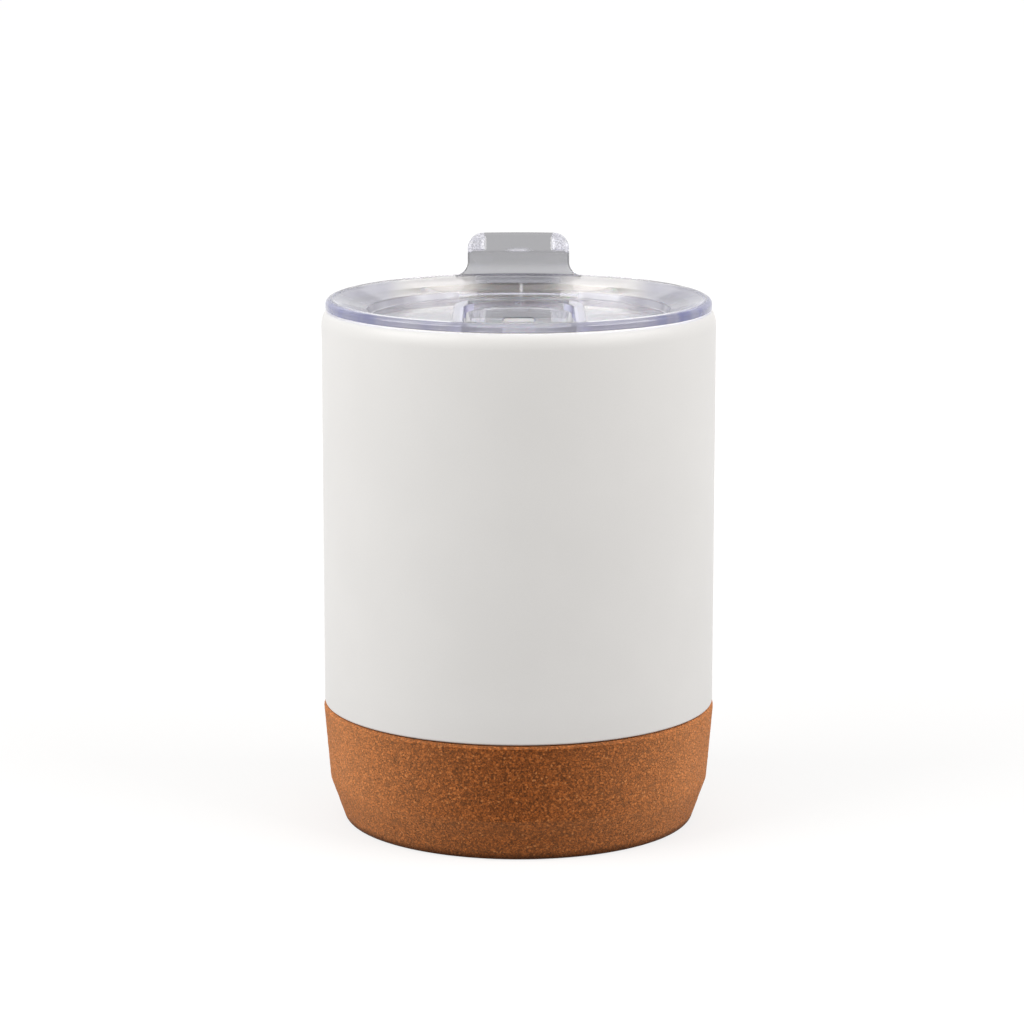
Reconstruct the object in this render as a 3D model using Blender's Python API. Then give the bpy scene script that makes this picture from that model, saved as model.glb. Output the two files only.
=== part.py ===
"""A small vacuum mug: steel walls, a cork base and a clear press-in lid with a drinking slide.

Units are metres, +Z is up, and the origin is the middle of the underside. The drinking
side faces -Y and the lid's thumb tab stands at +Y. The cup is measured from the table,
and the lid from the plane of the cup's mouth.
"""

from math import atan2, cos, degrees, pi, radians, sin, sqrt

import bmesh
import bpy
from mathutils import Vector

MM = 0.001
SEGMENTS = 60  # facets round each turned piece
FIT = 0.3 * MM  # clearance between neighbouring pieces

# Cup, measured up from the table
BODY_RADIUS = 40.0 * MM
MOUTH_HEIGHT = 105.4 * MM
SHELL_WALL = 0.5 * MM
SHOULDER_WIDTH = 1.2 * MM
SHOULDER_HEIGHT = 3.1 * MM
SHELL_HEM = 0.45 * MM  # rounding of the shell's lower edge, above the cork
VACUUM_GAP = 2.5 * MM  # between shell and liner at the mouth
LINER_WALL = 0.5 * MM
LINER_DRAFT = 1.9 * MM  # how much narrower the liner is at its foot
LINER_CORNER = 10.0 * MM
BASE_GAP = 5.4 * MM  # between the steel base and the liner's base

# Cork base and the steel step that it covers
CORK_HEIGHT = 24.1 * MM
CORK_STEP = 3.0 * MM  # how far the shell steps in behind the cork
CORK_FLOOR = 2.6 * MM
CORK_KNEE_HEIGHT = 8.6 * MM  # where the side turns in
CORK_KNEE_INSET = 1.0 * MM
CORK_FOOT_INSET = 2.95 * MM  # how far the slope at the foot runs in from the knee
CORK_FOOT_EDGE = 0.4 * MM
CORK_PROUD = 0.25 * MM  # how far the cork stands out past the shell
CORK_EDGE = 0.35 * MM
ADHESIVE_THICKNESS = 0.4 * MM
ADHESIVE_MARGIN = 4.5 * MM  # inside the flat of the steel base
BASE_CORNER = 8.5 * MM
BASE_LAND = 0.8 * MM  # straight edge of the base below its weld to the shell

# Evacuation port and getter, inside the vacuum
DIMPLE_RADIUS = 4.5 * MM
DIMPLE_DEPTH = 1.5 * MM
PORT_RADIUS = 0.9 * MM
SEAL_RADIUS = 3.0 * MM
SEAL_THICKNESS = 0.7 * MM
GETTER_OFFSET = 13.0 * MM
GETTER_RADIUS = 5.2 * MM
GETTER_DEPTH = 1.8 * MM
GETTER_WALL = 0.5 * MM
PELLET_THICKNESS = 0.8 * MM

# Lid, measured up from the mouth plane
LID_OVERHANG = 0.4 * MM  # of the flange past the inner edge of the shoulder
RIM_WIDTH = 4.2 * MM
RIM_FOOT = 1.0 * MM
RIM_HEIGHT = 2.0 * MM
RIM_RISE = 1.1 * MM  # the rim stands this much higher at the tab
FLANGE_EDGE = 0.3 * MM
FLOOR_DEPTH = 1.4 * MM
DISH_SLOPE = 5.0 * MM  # width of the sloping wall between floor and rim
LID_FLOOR = 1.6 * MM
SKIRT_CLEARANCE = 1.7 * MM  # from the liner, filled by the gasket
SKIRT_WALL = 1.8 * MM
SKIRT_LIP = 2.0 * MM  # below the gasket's groove
SKIRT_CHAMFER = 0.5 * MM
GROOVE_TOP = 4.6 * MM
GROOVE_HEIGHT = 4.4 * MM
GROOVE_DEPTH = 0.9 * MM
GASKET_WALL = 0.8 * MM
FIN_TIP = 0.4 * MM
FIN_COUNT = 2

# Thumb tab at the back of the rim
TAB_WIDTH = 21.6 * MM
TAB_HEIGHT = 11.5 * MM
TAB_CREASE = 7.8 * MM
TAB_THICKNESS = 1.5 * MM
TAB_LEAN = 1.3 * MM  # how far the top leans out past the crease
TAB_CORNER = 3.2 * MM
TAB_FILLET = 2.6 * MM

# Drinking slide and its channel
CHANNEL_WIDTH = 21.7 * MM
CHANNEL_END = 1.55 * MM  # back end of the channel, behind the lid's middle
CHANNEL_WALL = 2.3 * MM
CHANNEL_BACK_WALL = 5.2 * MM
CHANNEL_FRONT_WALL = 1.6 * MM  # inside the skirt's outer face
RAIL_HEIGHT = 1.6 * MM
SLIDE_TRAVEL = 8.8 * MM
SLIDE_TOP = 1.5 * MM
SLIDE_PLATE = 1.5 * MM
SLIDE_WALL = 1.0 * MM
TONGUE_REACH = 0.8 * MM
TONGUE_THICKNESS = 0.8 * MM
TONGUE_LENGTH = 11.0 * MM
TONGUE_SETBACK = 3.0 * MM  # behind the slide's front edge
SEAL_PAD_LENGTH = 9.4 * MM
BUTTON_WIDTH = 6.0 * MM
BUTTON_LENGTH = 6.6 * MM
BUTTON_SETBACK = 1.9 * MM  # behind the slide's front edge
BUTTON_RECESS = 0.5 * MM  # below the slide's top
HOLE_WIDTH = 12.0 * MM
HOLE_LENGTH = 5.2 * MM
HOLE_CORNER = 2.2 * MM
HOLE_SETBACK = 2.7 * MM  # behind the slide's front edge
VENT_RADIUS = 0.9 * MM
VENT_OFFSET = 22.0 * MM

# Sizes that follow from those above
MOUTH_RADIUS = BODY_RADIUS - SHELL_WALL - VACUUM_GAP - LINER_WALL
STEP_HEIGHT = CORK_HEIGHT + FIT
STEP_RADIUS = BODY_RADIUS - CORK_STEP
PLATE_BOTTOM = CORK_FLOOR + ADHESIVE_THICKNESS + 2 * FIT
PLATE_FLAT = STEP_RADIUS - BASE_CORNER
BASE_SEAM = PLATE_BOTTOM + BASE_CORNER + BASE_LAND
ADHESIVE_RADIUS = PLATE_FLAT - ADHESIVE_MARGIN
LINER_FLOOR = PLATE_BOTTOM + SHELL_WALL + BASE_GAP + LINER_WALL
LINER_FOOT_TOP = LINER_FLOOR + LINER_CORNER
LID_RADIUS = BODY_RADIUS - SHOULDER_WIDTH + LID_OVERHANG
RIM_MIDDLE = LID_RADIUS - RIM_WIDTH / 2
FLOOR_RADIUS = LID_RADIUS - RIM_WIDTH - DISH_SLOPE
SKIRT_RADIUS = MOUTH_RADIUS - SKIRT_CLEARANCE
SKIRT_DEPTH = GROOVE_TOP + GROOVE_HEIGHT + SKIRT_LIP
CHANNEL_FRONT = SKIRT_RADIUS - CHANNEL_FRONT_WALL
CHANNEL_HALF = CHANNEL_WIDTH / 2
CHANNEL_CENTRE = CHANNEL_END - CHANNEL_HALF
SLIDE_HALF = CHANNEL_HALF - FIT
SLIDE_CENTRE = CHANNEL_CENTRE - SLIDE_TRAVEL
SLIDE_FRONT = CHANNEL_FRONT - FIT
SLIDE_BOTTOM = FIT - FLOOR_DEPTH
SLIDE_CEILING = SLIDE_TOP - SLIDE_PLATE


def liner_radius(height):
    """Inner radius of the drawn liner at a height above the table."""
    foot = MOUTH_HEIGHT - LINER_FOOT_TOP
    return MOUTH_RADIUS - LINER_DRAFT * (MOUTH_HEIGHT - height) / foot


def arc(centre, radii, start, end, steps):
    """Points of an elliptical arc, from one angle in degrees to another."""
    points = []
    for i in range(steps + 1):
        angle = radians(start + (end - start) * i / steps)
        points.append((centre[0] + radii[0] * cos(angle), centre[1] + radii[1] * sin(angle)))
    return points


def material(name, colour, roughness, metallic=0.0, alpha=1.0):
    """A plain Principled material."""
    made = bpy.data.materials.new(name)
    made.use_nodes = True
    shader = made.node_tree.nodes["Principled BSDF"]
    shader.inputs["Base Color"].default_value = (*colour, 1.0)
    shader.inputs["Roughness"].default_value = roughness
    shader.inputs["Metallic"].default_value = metallic
    shader.inputs["Alpha"].default_value = alpha
    return made


def finish(name, mesh_builder, finish_material, location=(0, 0, 0)):
    """Turns a bmesh into a named object with its material and smooth shading."""
    bmesh.ops.remove_doubles(mesh_builder, verts=mesh_builder.verts, dist=0.000001)
    bmesh.ops.recalc_face_normals(mesh_builder, faces=mesh_builder.faces)
    mesh = bpy.data.meshes.new(name)
    mesh_builder.to_mesh(mesh)
    mesh_builder.free()
    mesh.shade_smooth()
    mesh.set_sharp_from_angle(angle=radians(32))
    if finish_material:
        mesh.materials.append(finish_material)
    made = bpy.data.objects.new(name, mesh)
    made.location = location
    bpy.context.scene.collection.objects.link(made)
    return made


def turned_mesh(outline, segments=SEGMENTS):
    """Spins an outline of (radius, height) points about Z. One that leaves the axis is closed."""
    builder = bmesh.new()
    verts = [builder.verts.new((r, 0, z)) for r, z in outline]
    edges = [builder.edges.new(pair) for pair in zip(verts, verts[1:])]
    if outline[0][0] > 0:
        edges.append(builder.edges.new((verts[-1], verts[0])))
    bmesh.ops.spin(
        builder,
        geom=verts + edges,
        axis=(0, 0, 1),
        cent=(0, 0, 0),
        angle=2 * pi,
        steps=segments,
        use_merge=True,
    )
    return builder


def turned(name, outline, finish_material, location=(0, 0, 0), segments=SEGMENTS):
    """A turned solid."""
    return finish(name, turned_mesh(outline, segments), finish_material, location)


def prism(name, plan, low, high, finish_material=None, location=(0, 0, 0)):
    """Extrudes a plan outline of (x, y) points from one height to another."""
    builder = bmesh.new()
    face = builder.faces.new([builder.verts.new((x, y, low)) for x, y in plan])
    raised = bmesh.ops.extrude_face_region(builder, geom=[face], use_keep_orig=True)
    tops = [item for item in raised["geom"] if isinstance(item, bmesh.types.BMVert)]
    bmesh.ops.translate(builder, verts=tops, vec=(0, 0, high - low))
    return finish(name, builder, finish_material, location)


def rounded_plan(width, front, back, corner, steps=4):
    """A rectangle with round corners, from y = front to y = back."""
    half = width / 2 - corner
    plan = []
    for x, y, start in (
        (half, back - corner, 0),
        (-half, back - corner, 90),
        (-half, front + corner, 180),
        (half, front + corner, 270),
    ):
        plan += arc((x, y), (corner, corner), start, start + 90, steps)
    return plan


def front_arc(half, radius, steps=8):
    """Front edge concentric with the lid, from the left side to the right."""
    edge = degrees(atan2(-sqrt(radius**2 - half**2), half))
    return arc((0, 0), (radius, radius), -180 - edge, edge, steps)


def tongue_plan(half, back_centre, front_radius):
    """Straight sides, a half-round back end and a front edge concentric with the lid."""
    return arc((0, back_centre), (half, half), 0, 180, 14) + front_arc(half, front_radius)


def combine(target, other, operation):
    """Joins a hidden guide to a piece, or cuts it out of the piece."""
    other.hide_render = True
    other.display_type = "WIRE"
    other.parent = target
    other.location = (0, 0, 0)
    boolean = target.modifiers.new(other.name, "BOOLEAN")
    boolean.operation = operation
    boolean.solver = "EXACT"
    boolean.object = other


def outer_shell(steel):
    """White shell: curled into the mouth at the top, stepped in behind the cork below."""
    wall, top = SHELL_WALL, MOUTH_HEIGHT - SHOULDER_HEIGHT
    step_inner = STEP_RADIUS - wall
    inner = BODY_RADIUS - wall
    lip = MOUTH_RADIUS + LINER_WALL + FIT
    shoulder = BODY_RADIUS - SHOULDER_WIDTH
    hem = BODY_RADIUS - SHELL_HEM
    outline = [(step_inner, BASE_SEAM + FIT), (STEP_RADIUS, BASE_SEAM + FIT)]
    outline += [(STEP_RADIUS, STEP_HEIGHT)]
    outline += arc((hem, STEP_HEIGHT + SHELL_HEM), (SHELL_HEM, SHELL_HEM), -90, 0, 3)
    outline += arc((shoulder, top), (SHOULDER_WIDTH, SHOULDER_HEIGHT), 0, 90, 6)
    outline += [(lip, MOUTH_HEIGHT), (lip, MOUTH_HEIGHT - wall)]
    outline += arc((shoulder, top), (SHOULDER_WIDTH - wall, SHOULDER_HEIGHT - wall), 90, 0, 3)
    outline += [(inner, STEP_HEIGHT + wall), (step_inner, STEP_HEIGHT + wall)]
    return turned("outer_shell", outline, steel)


def inner_liner(steel):
    """Bare drawn tube that holds the drink, open at the mouth."""
    foot = LINER_FOOT_TOP + FIT
    outline = [
        (liner_radius(foot), foot),
        (liner_radius(foot) + LINER_WALL, foot),
        (MOUTH_RADIUS + LINER_WALL, MOUTH_HEIGHT),
        (MOUTH_RADIUS, MOUTH_HEIGHT),
    ]
    return turned("inner_liner", outline, steel)


def dished(radius, top, bottom, corner, wall):
    """Outline of a pressed dish with a flat bottom, without its middle."""
    centre, inside = (radius - corner, bottom + corner), corner - wall
    outer = arc(centre, (corner, corner), -90, 0, 5)
    edge = [(radius, top), (radius - wall, top)]
    return outer + edge + arc(centre, (inside, inside), 0, -90, 5)


def liner_base(steel):
    """Round-cornered bottom welded to the liner tube."""
    outer = liner_radius(LINER_FOOT_TOP) + LINER_WALL
    low = LINER_FLOOR - LINER_WALL
    corner = LINER_CORNER + LINER_WALL
    dish = dished(outer, LINER_FOOT_TOP, low, corner, LINER_WALL)
    return turned("liner_base", [(0, low), *dish, (0, LINER_FLOOR)], steel)


def outer_base(steel):
    """Pressed base welded to the shell, with a dimple and a port for drawing the vacuum."""
    low, wall = PLATE_BOTTOM, SHELL_WALL
    dish = dished(STEP_RADIUS, BASE_SEAM, low, BASE_CORNER, wall)
    outline = [(PORT_RADIUS, low + DIMPLE_DEPTH), (DIMPLE_RADIUS - wall, low + DIMPLE_DEPTH)]
    outline += [(DIMPLE_RADIUS - wall, low), *dish]
    outline += [(DIMPLE_RADIUS, low + wall), (DIMPLE_RADIUS, low + DIMPLE_DEPTH + wall)]
    outline += [(PORT_RADIUS, low + DIMPLE_DEPTH + wall)]
    return turned("outer_base", outline, steel)


def vacuum_seal(glass):
    """Bead that closes the evacuation port from below."""
    top = PLATE_BOTTOM + DIMPLE_DEPTH - FIT
    low = top - SEAL_THICKNESS
    dome = arc((0, top), (SEAL_RADIUS, top - low), -90, 0, 4)
    return turned("vacuum_seal", [*dome, (0, top)], glass, segments=24)


def getter(steel, pellet):
    """Gas-absorbing pellet in its holder, spot-welded under the liner's base."""
    place = (GETTER_OFFSET, 0, LINER_FLOOR - LINER_WALL - FIT)
    inner = GETTER_RADIUS - GETTER_WALL
    cup = [(0, 0), (GETTER_RADIUS, 0), (GETTER_RADIUS, -GETTER_DEPTH), (inner, -GETTER_DEPTH)]
    cup += [(inner, -GETTER_WALL), (0, -GETTER_WALL)]
    turned("getter_cup", cup, steel, place, 24)
    top = -GETTER_WALL - FIT
    disc = [(0, top), (inner - FIT, top), (inner - FIT, top - PELLET_THICKNESS)]
    turned("getter_pellet", [*disc, (0, top - PELLET_THICKNESS)], pellet, place, 24)


def cork_base(cork):
    """Moulded cork cup glued over the stepped foot."""
    knee, top = BODY_RADIUS - CORK_KNEE_INSET, BODY_RADIUS + CORK_PROUD
    foot = knee - CORK_FOOT_INSET
    hollow = BASE_CORNER + FIT
    recess = ADHESIVE_RADIUS + FIT
    outline = [(0, 0), (foot - CORK_FOOT_EDGE, 0), (foot, CORK_FOOT_EDGE)]
    outline += [(knee, CORK_KNEE_HEIGHT), (top, CORK_HEIGHT - CORK_EDGE)]
    outline += [(top - CORK_EDGE, CORK_HEIGHT), (STEP_RADIUS + FIT, CORK_HEIGHT)]
    outline += arc((PLATE_FLAT, PLATE_BOTTOM + BASE_CORNER), (hollow, hollow), 0, -90, 5)
    outline += [(recess, PLATE_BOTTOM - FIT), (recess, CORK_FLOOR), (0, CORK_FLOOR)]
    return turned("cork_base", outline, cork)


def adhesive_disc(adhesive):
    """Bonding pad between the steel base and the cork floor."""
    low, high = CORK_FLOOR + FIT, CORK_FLOOR + FIT + ADHESIVE_THICKNESS
    outline = [(0, low), (ADHESIVE_RADIUS, low), (ADHESIVE_RADIUS, high), (0, high)]
    return turned("adhesive_disc", outline, adhesive)


def lid_outline():
    """Half section of the lid: floor, sloping dish, round rim, flange and grooved skirt."""
    seat, groove = FIT, SKIRT_RADIUS - GROOVE_DEPTH
    inner = SKIRT_RADIUS - SKIRT_WALL
    under = -FLOOR_DEPTH - LID_FLOOR
    outline = [(0, -FLOOR_DEPTH), (FLOOR_RADIUS, -FLOOR_DEPTH)]
    outline += arc((RIM_MIDDLE, RIM_FOOT), (RIM_WIDTH / 2, RIM_HEIGHT - RIM_FOOT), 180, 0, 8)
    outline += [(LID_RADIUS, seat + FLANGE_EDGE), (LID_RADIUS - FLANGE_EDGE, seat)]
    outline += [(SKIRT_RADIUS, seat), (SKIRT_RADIUS, -GROOVE_TOP), (groove, -GROOVE_TOP)]
    outline += [(groove, -GROOVE_TOP - GROOVE_HEIGHT), (SKIRT_RADIUS, -GROOVE_TOP - GROOVE_HEIGHT)]
    outline += [(SKIRT_RADIUS, SKIRT_CHAMFER - SKIRT_DEPTH)]
    outline += [(SKIRT_RADIUS - SKIRT_CHAMFER, -SKIRT_DEPTH), (inner, -SKIRT_DEPTH)]
    return outline + [(inner, under), (0, under)]


def raise_rim(builder):
    """Lifts the rim's crest towards the tab."""
    for vert in builder.verts:
        share = (vert.co.z - RIM_FOOT) / (RIM_HEIGHT - RIM_FOOT)
        radius = vert.co.xy.length
        if share > 0 and radius > FLOOR_RADIUS:
            vert.co.z += RIM_RISE * share * (1 + vert.co.y / radius) / 2


def tab_half_width(height):
    """Half the tab's width: flared into the rim below, round-cornered above."""
    half, flare_top = TAB_WIDTH / 2, RIM_HEIGHT + RIM_RISE + TAB_FILLET
    if height < flare_top:
        drop = min(flare_top - height, TAB_FILLET)
        return half + TAB_FILLET - sqrt(TAB_FILLET**2 - drop**2)
    rise = max(0, height - TAB_HEIGHT + TAB_CORNER)
    return half - TAB_CORNER + sqrt(TAB_CORNER**2 - min(rise, TAB_CORNER) ** 2)


def tab_heights():
    """Heights of the tab's cross sections, close together where its outline curves."""
    flare, corner = RIM_HEIGHT + RIM_RISE, TAB_HEIGHT - TAB_CORNER
    heights = [RIM_FOOT + FLANGE_EDGE, TAB_CREASE]
    heights += [z for _, z in arc((0, flare + TAB_FILLET), (1, TAB_FILLET), -90, 0, 4)]
    return sorted(heights + [z for _, z in arc((0, corner), (1, TAB_CORNER), 0, 90, 5)])


def lid_tab():
    """Thumb tab, curved with the rim and leaning out above its crease."""
    heights = tab_heights()
    last = len(heights) - 1
    builder = bmesh.new()
    bmesh.ops.create_grid(builder, x_segments=10, y_segments=last, size=1)
    raised = bmesh.ops.extrude_face_region(builder, geom=builder.faces[:], use_keep_orig=True)
    outer = {item for item in raised["geom"] if isinstance(item, bmesh.types.BMVert)}
    for vert in builder.verts:
        height = heights[round((vert.co.y + 1) / 2 * last)]
        lean = TAB_LEAN * max(0, height - TAB_CREASE) / (TAB_HEIGHT - TAB_CREASE)
        side = 1 if vert in outer else -1
        radius = RIM_MIDDLE + lean + side * TAB_THICKNESS / 2
        x = vert.co.x * tab_half_width(height)
        vert.co = Vector((x, sqrt(radius**2 - x**2), height))
    return finish("guide_tab", builder, None)


def lid_channel():
    """Raised island that carries the slide, and the channel and side grooves cut into it."""
    half, back = CHANNEL_HALF + CHANNEL_WALL, CHANNEL_END + CHANNEL_BACK_WALL
    plan = tongue_plan(half, back - half, RIM_MIDDLE - RIM_WIDTH / 3)
    island = prism("guide_island", plan, -FLOOR_DEPTH - LID_FLOOR / 2, RAIL_HEIGHT)
    run = tongue_plan(CHANNEL_HALF, CHANNEL_CENTRE, CHANNEL_FRONT)
    channel = prism("cut_channel", run, -FLOOR_DEPTH, RIM_HEIGHT + RIM_RISE)
    reach = SLIDE_HALF + TONGUE_REACH + FIT
    front, back = tongue_ends()
    groove_plan = [(-reach, front - FIT), (reach, front - FIT)]
    groove_plan += [(reach, back + SLIDE_TRAVEL + FIT), (-reach, back + SLIDE_TRAVEL + FIT)]
    middle = tongue_middle()
    half_height = TONGUE_THICKNESS / 2 + FIT
    grooves = prism("cut_grooves", groove_plan, middle - half_height, middle + half_height)
    return island, channel, grooves


def tongue_middle():
    """Height of the middle of the slide's side tongues."""
    return (SLIDE_BOTTOM + SLIDE_TOP) / 2


def tongue_ends():
    """Front and back of the side tongues, with the slide shut."""
    front = TONGUE_SETBACK - SLIDE_FRONT
    return front, front + TONGUE_LENGTH


def lid_body(clear):
    """Clear press-in lid, moulded in one with its tab and the slide's channel."""
    builder = turned_mesh(lid_outline())
    raise_rim(builder)
    lid = finish("lid_body", builder, clear, (0, 0, MOUTH_HEIGHT))
    island, channel, grooves = lid_channel()
    floor, under = -FLOOR_DEPTH, -FLOOR_DEPTH - LID_FLOOR
    front = HOLE_SETBACK - SLIDE_FRONT
    hole_plan = rounded_plan(HOLE_WIDTH, front, front + HOLE_LENGTH, HOLE_CORNER)
    hole = prism("cut_drink_hole", hole_plan, under - LID_FLOOR, floor + LID_FLOOR)
    vent_plan = arc((0, VENT_OFFSET), (VENT_RADIUS, VENT_RADIUS), 0, 330, 11)
    vent = prism("cut_vent", vent_plan, under - LID_FLOOR, floor + LID_FLOOR)
    for guide in (lid_tab(), island):
        combine(lid, guide, "UNION")
    for cutter in (channel, grooves, hole, vent):
        combine(lid, cutter, "DIFFERENCE")
    return lid


def lid_gasket(silicone):
    """Finned ring in the skirt's groove, which grips the liner."""
    inner = SKIRT_RADIUS - GROOVE_DEPTH + FIT
    top, low = -GROOVE_TOP - FIT, FIT - GROOVE_TOP - GROOVE_HEIGHT
    body = inner + GASKET_WALL
    pitch = (top - low) / FIN_COUNT
    outline = [(inner, low), (body, low)]
    for i in range(FIN_COUNT):
        foot = low + pitch * i
        tip = foot + pitch / 2
        reach = liner_radius(MOUTH_HEIGHT + tip) - FIT
        outline += [(body, foot + FIN_TIP / 2), (reach, tip), (reach, tip + FIN_TIP)]
        outline += [(body, tip + FIN_TIP)]
    outline += [(body, top), (inner, top)]
    return turned("lid_gasket", outline, silicone, (0, 0, MOUTH_HEIGHT))


def slide_place():
    """Where the slide's own origin lies: on its line of travel, at its back end's centre."""
    return Vector((0, SLIDE_CENTRE, MOUTH_HEIGHT + tongue_middle()))


def moved(plan):
    """A plan in the lid's coordinates, read from the slide's origin."""
    return [(x, y - SLIDE_CENTRE) for x, y in plan]


def button_plan(clearance):
    """Plan of the seal's button, or of the window that it stands in."""
    front = BUTTON_SETBACK - SLIDE_FRONT
    half = BUTTON_WIDTH / 2 + clearance
    back = front + BUTTON_LENGTH + clearance
    return moved([(-half, front - clearance), (half, front - clearance), (half, back), (-half, back)])


def slide(clear):
    """Clear slide: a plate with a skirt, side tongues and a window for the seal's button."""
    middle = tongue_middle()
    low, high = SLIDE_BOTTOM - middle, SLIDE_TOP - middle
    plan = moved(tongue_plan(SLIDE_HALF, SLIDE_CENTRE, SLIDE_FRONT))
    body = prism("slide", plan, low, high, clear, slide_place())
    front, back = tongue_ends()
    reach, thick = SLIDE_HALF + TONGUE_REACH, TONGUE_THICKNESS / 2
    tongue = moved([(-reach, front), (reach, front), (reach, back), (-reach, back)])
    combine(body, prism("guide_tongues", tongue, -thick, thick), "UNION")
    hollow = tongue_plan(SLIDE_HALF - SLIDE_WALL, SLIDE_CENTRE, SLIDE_FRONT - SLIDE_WALL)
    ceiling = SLIDE_CEILING - middle
    combine(body, prism("cut_hollow", moved(hollow), low - FIT, ceiling), "DIFFERENCE")
    window = prism("cut_window", button_plan(FIT), ceiling - FIT, high + FIT)
    combine(body, window, "DIFFERENCE")
    return body


def slide_seal(silicone):
    """Silicone pad over the drinking hole, held by a button in the slide's window."""
    middle = tongue_middle()
    low, high = SLIDE_BOTTOM - middle, SLIDE_CEILING - FIT - middle
    half, radius = SLIDE_HALF - SLIDE_WALL - FIT, SLIDE_FRONT - SLIDE_WALL - FIT
    back = SEAL_PAD_LENGTH - radius
    plan = [(half, back), (-half, back), *front_arc(half, radius)]
    pad = prism("slide_seal", moved(plan), low, high, silicone, slide_place())
    top = SLIDE_TOP - BUTTON_RECESS - middle
    button = prism("guide_button", button_plan(0), (low + high) / 2, top)
    combine(pad, button, "UNION")
    return pad


def main():
    """Clears the scene and builds every piece."""
    for old in list(bpy.data.objects):
        bpy.data.objects.remove(old, do_unlink=True)
    outer_shell(material("white_powder_coat", (0.82, 0.81, 0.80), 0.45))
    bare = material("brushed_steel", (0.62, 0.61, 0.60), 0.3, 1.0)
    inner_liner(bare)
    liner_base(material("liner_base_steel", (0.60, 0.59, 0.58), 0.32, 1.0))
    outer_base(material("pressed_steel", (0.55, 0.55, 0.55), 0.4, 1.0))
    vacuum_seal(material("sealing_glass", (0.25, 0.28, 0.26), 0.2))
    getter_steel = material("getter_steel", (0.50, 0.50, 0.50), 0.5, 1.0)
    getter(getter_steel, material("getter_alloy", (0.20, 0.20, 0.21), 0.8, 0.5))
    cork_base(material("cork", (0.42, 0.19, 0.08), 0.85))
    adhesive_disc(material("adhesive", (0.75, 0.72, 0.60), 0.6))
    lid_body(material("clear_plastic", (0.62, 0.62, 0.68), 0.08, alpha=0.4))
    lid_gasket(material("gasket_silicone", (0.80, 0.80, 0.82), 0.5))
    slide(material("slide_plastic", (0.60, 0.60, 0.66), 0.1, alpha=0.45))
    slide_seal(material("seal_silicone", (0.85, 0.85, 0.87), 0.5))


main()
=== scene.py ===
"""Dresses the vacuum mug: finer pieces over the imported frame, their finishes, and the studio.

Lengths are metres in the frame's own axes: +Z is up, the origin is the middle of the
underside, the drinking side faces -Y and the lid's thumb tab stands at +Y.
"""

from math import atan2, ceil, cos, degrees, dist, pi, radians, sin, sqrt

import bmesh
import bpy
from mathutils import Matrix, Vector, noise


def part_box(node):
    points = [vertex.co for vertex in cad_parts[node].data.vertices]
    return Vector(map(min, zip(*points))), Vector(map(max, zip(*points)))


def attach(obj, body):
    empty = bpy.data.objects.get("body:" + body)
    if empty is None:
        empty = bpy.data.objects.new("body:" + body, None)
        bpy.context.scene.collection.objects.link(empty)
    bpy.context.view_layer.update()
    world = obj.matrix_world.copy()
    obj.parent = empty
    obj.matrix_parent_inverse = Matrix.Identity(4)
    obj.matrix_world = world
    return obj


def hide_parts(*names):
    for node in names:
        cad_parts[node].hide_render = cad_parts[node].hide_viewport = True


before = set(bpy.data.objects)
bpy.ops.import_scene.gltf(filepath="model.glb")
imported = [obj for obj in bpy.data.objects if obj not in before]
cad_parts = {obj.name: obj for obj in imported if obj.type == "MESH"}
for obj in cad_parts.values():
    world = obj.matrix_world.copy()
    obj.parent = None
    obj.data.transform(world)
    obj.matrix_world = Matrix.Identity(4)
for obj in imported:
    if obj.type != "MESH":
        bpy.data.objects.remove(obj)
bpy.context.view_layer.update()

bl_info = {
    "name": "Vacuum mug dresser",
    "version": (1, 0, 0),
    "blender": (4, 5, 0),
    "location": "3D View > Sidebar > Mug",
    "description": "Builds a cork-footed vacuum mug with a clear slide lid, and its studio",
    "category": "Object",
}

MM = 0.001
AROUND = 240  # facets round the fine turned pieces
FIT = 0.3 * MM  # clearance between neighbouring pieces
STEEL_WALL = 0.5 * MM


def reach(node, axis=0, side=1):
    """How far a node of the frame reaches along an axis: side 1 is its high corner."""
    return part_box(node)[side][axis]


# Settings --------


def length_setting(name, description, default):
    """A length, in metres."""
    return bpy.props.FloatProperty(
        name=name, description=description, default=default, unit="LENGTH"
    )


def colour_setting(name, description, default):
    """A colour, as linear red, green and blue."""
    return bpy.props.FloatVectorProperty(
        name=name, description=description, default=default, subtype="COLOR", min=0.0, max=1.0
    )


def power_setting(name, description, default):
    """The power of a lamp, in watts."""
    return bpy.props.FloatProperty(
        name=name, description=description, default=default, unit="POWER"
    )


class MugSizes(bpy.types.PropertyGroup):
    """Sizes of the cup, measured up from the table."""

    body_radius: length_setting(
        "Body radius", "Outer radius of the white shell", reach("outer_shell")
    )
    mouth_height: length_setting(
        "Mouth height", "Height of the plane of the cup's mouth", reach("outer_shell", 2)
    )
    cork_height: length_setting(
        "Cork height", "Height of the cork base's upper edge", reach("cork_base", 2)
    )
    step_foot: length_setting(
        "Step foot",
        "Height of the lower end of the shell's step, behind the cork",
        reach("outer_shell", 2, 0),
    )
    mouth_radius: length_setting(
        "Mouth radius",
        "Inner radius of the steel liner at the mouth",
        reach("inner_liner") - STEEL_WALL,
    )
    liner_foot: length_setting(
        "Liner foot", "Height of the lower end of the liner's tube", reach("inner_liner", 2, 0)
    )
    wall: length_setting("Steel wall", "Thickness of the steel of shell and liner", STEEL_WALL)


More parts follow.
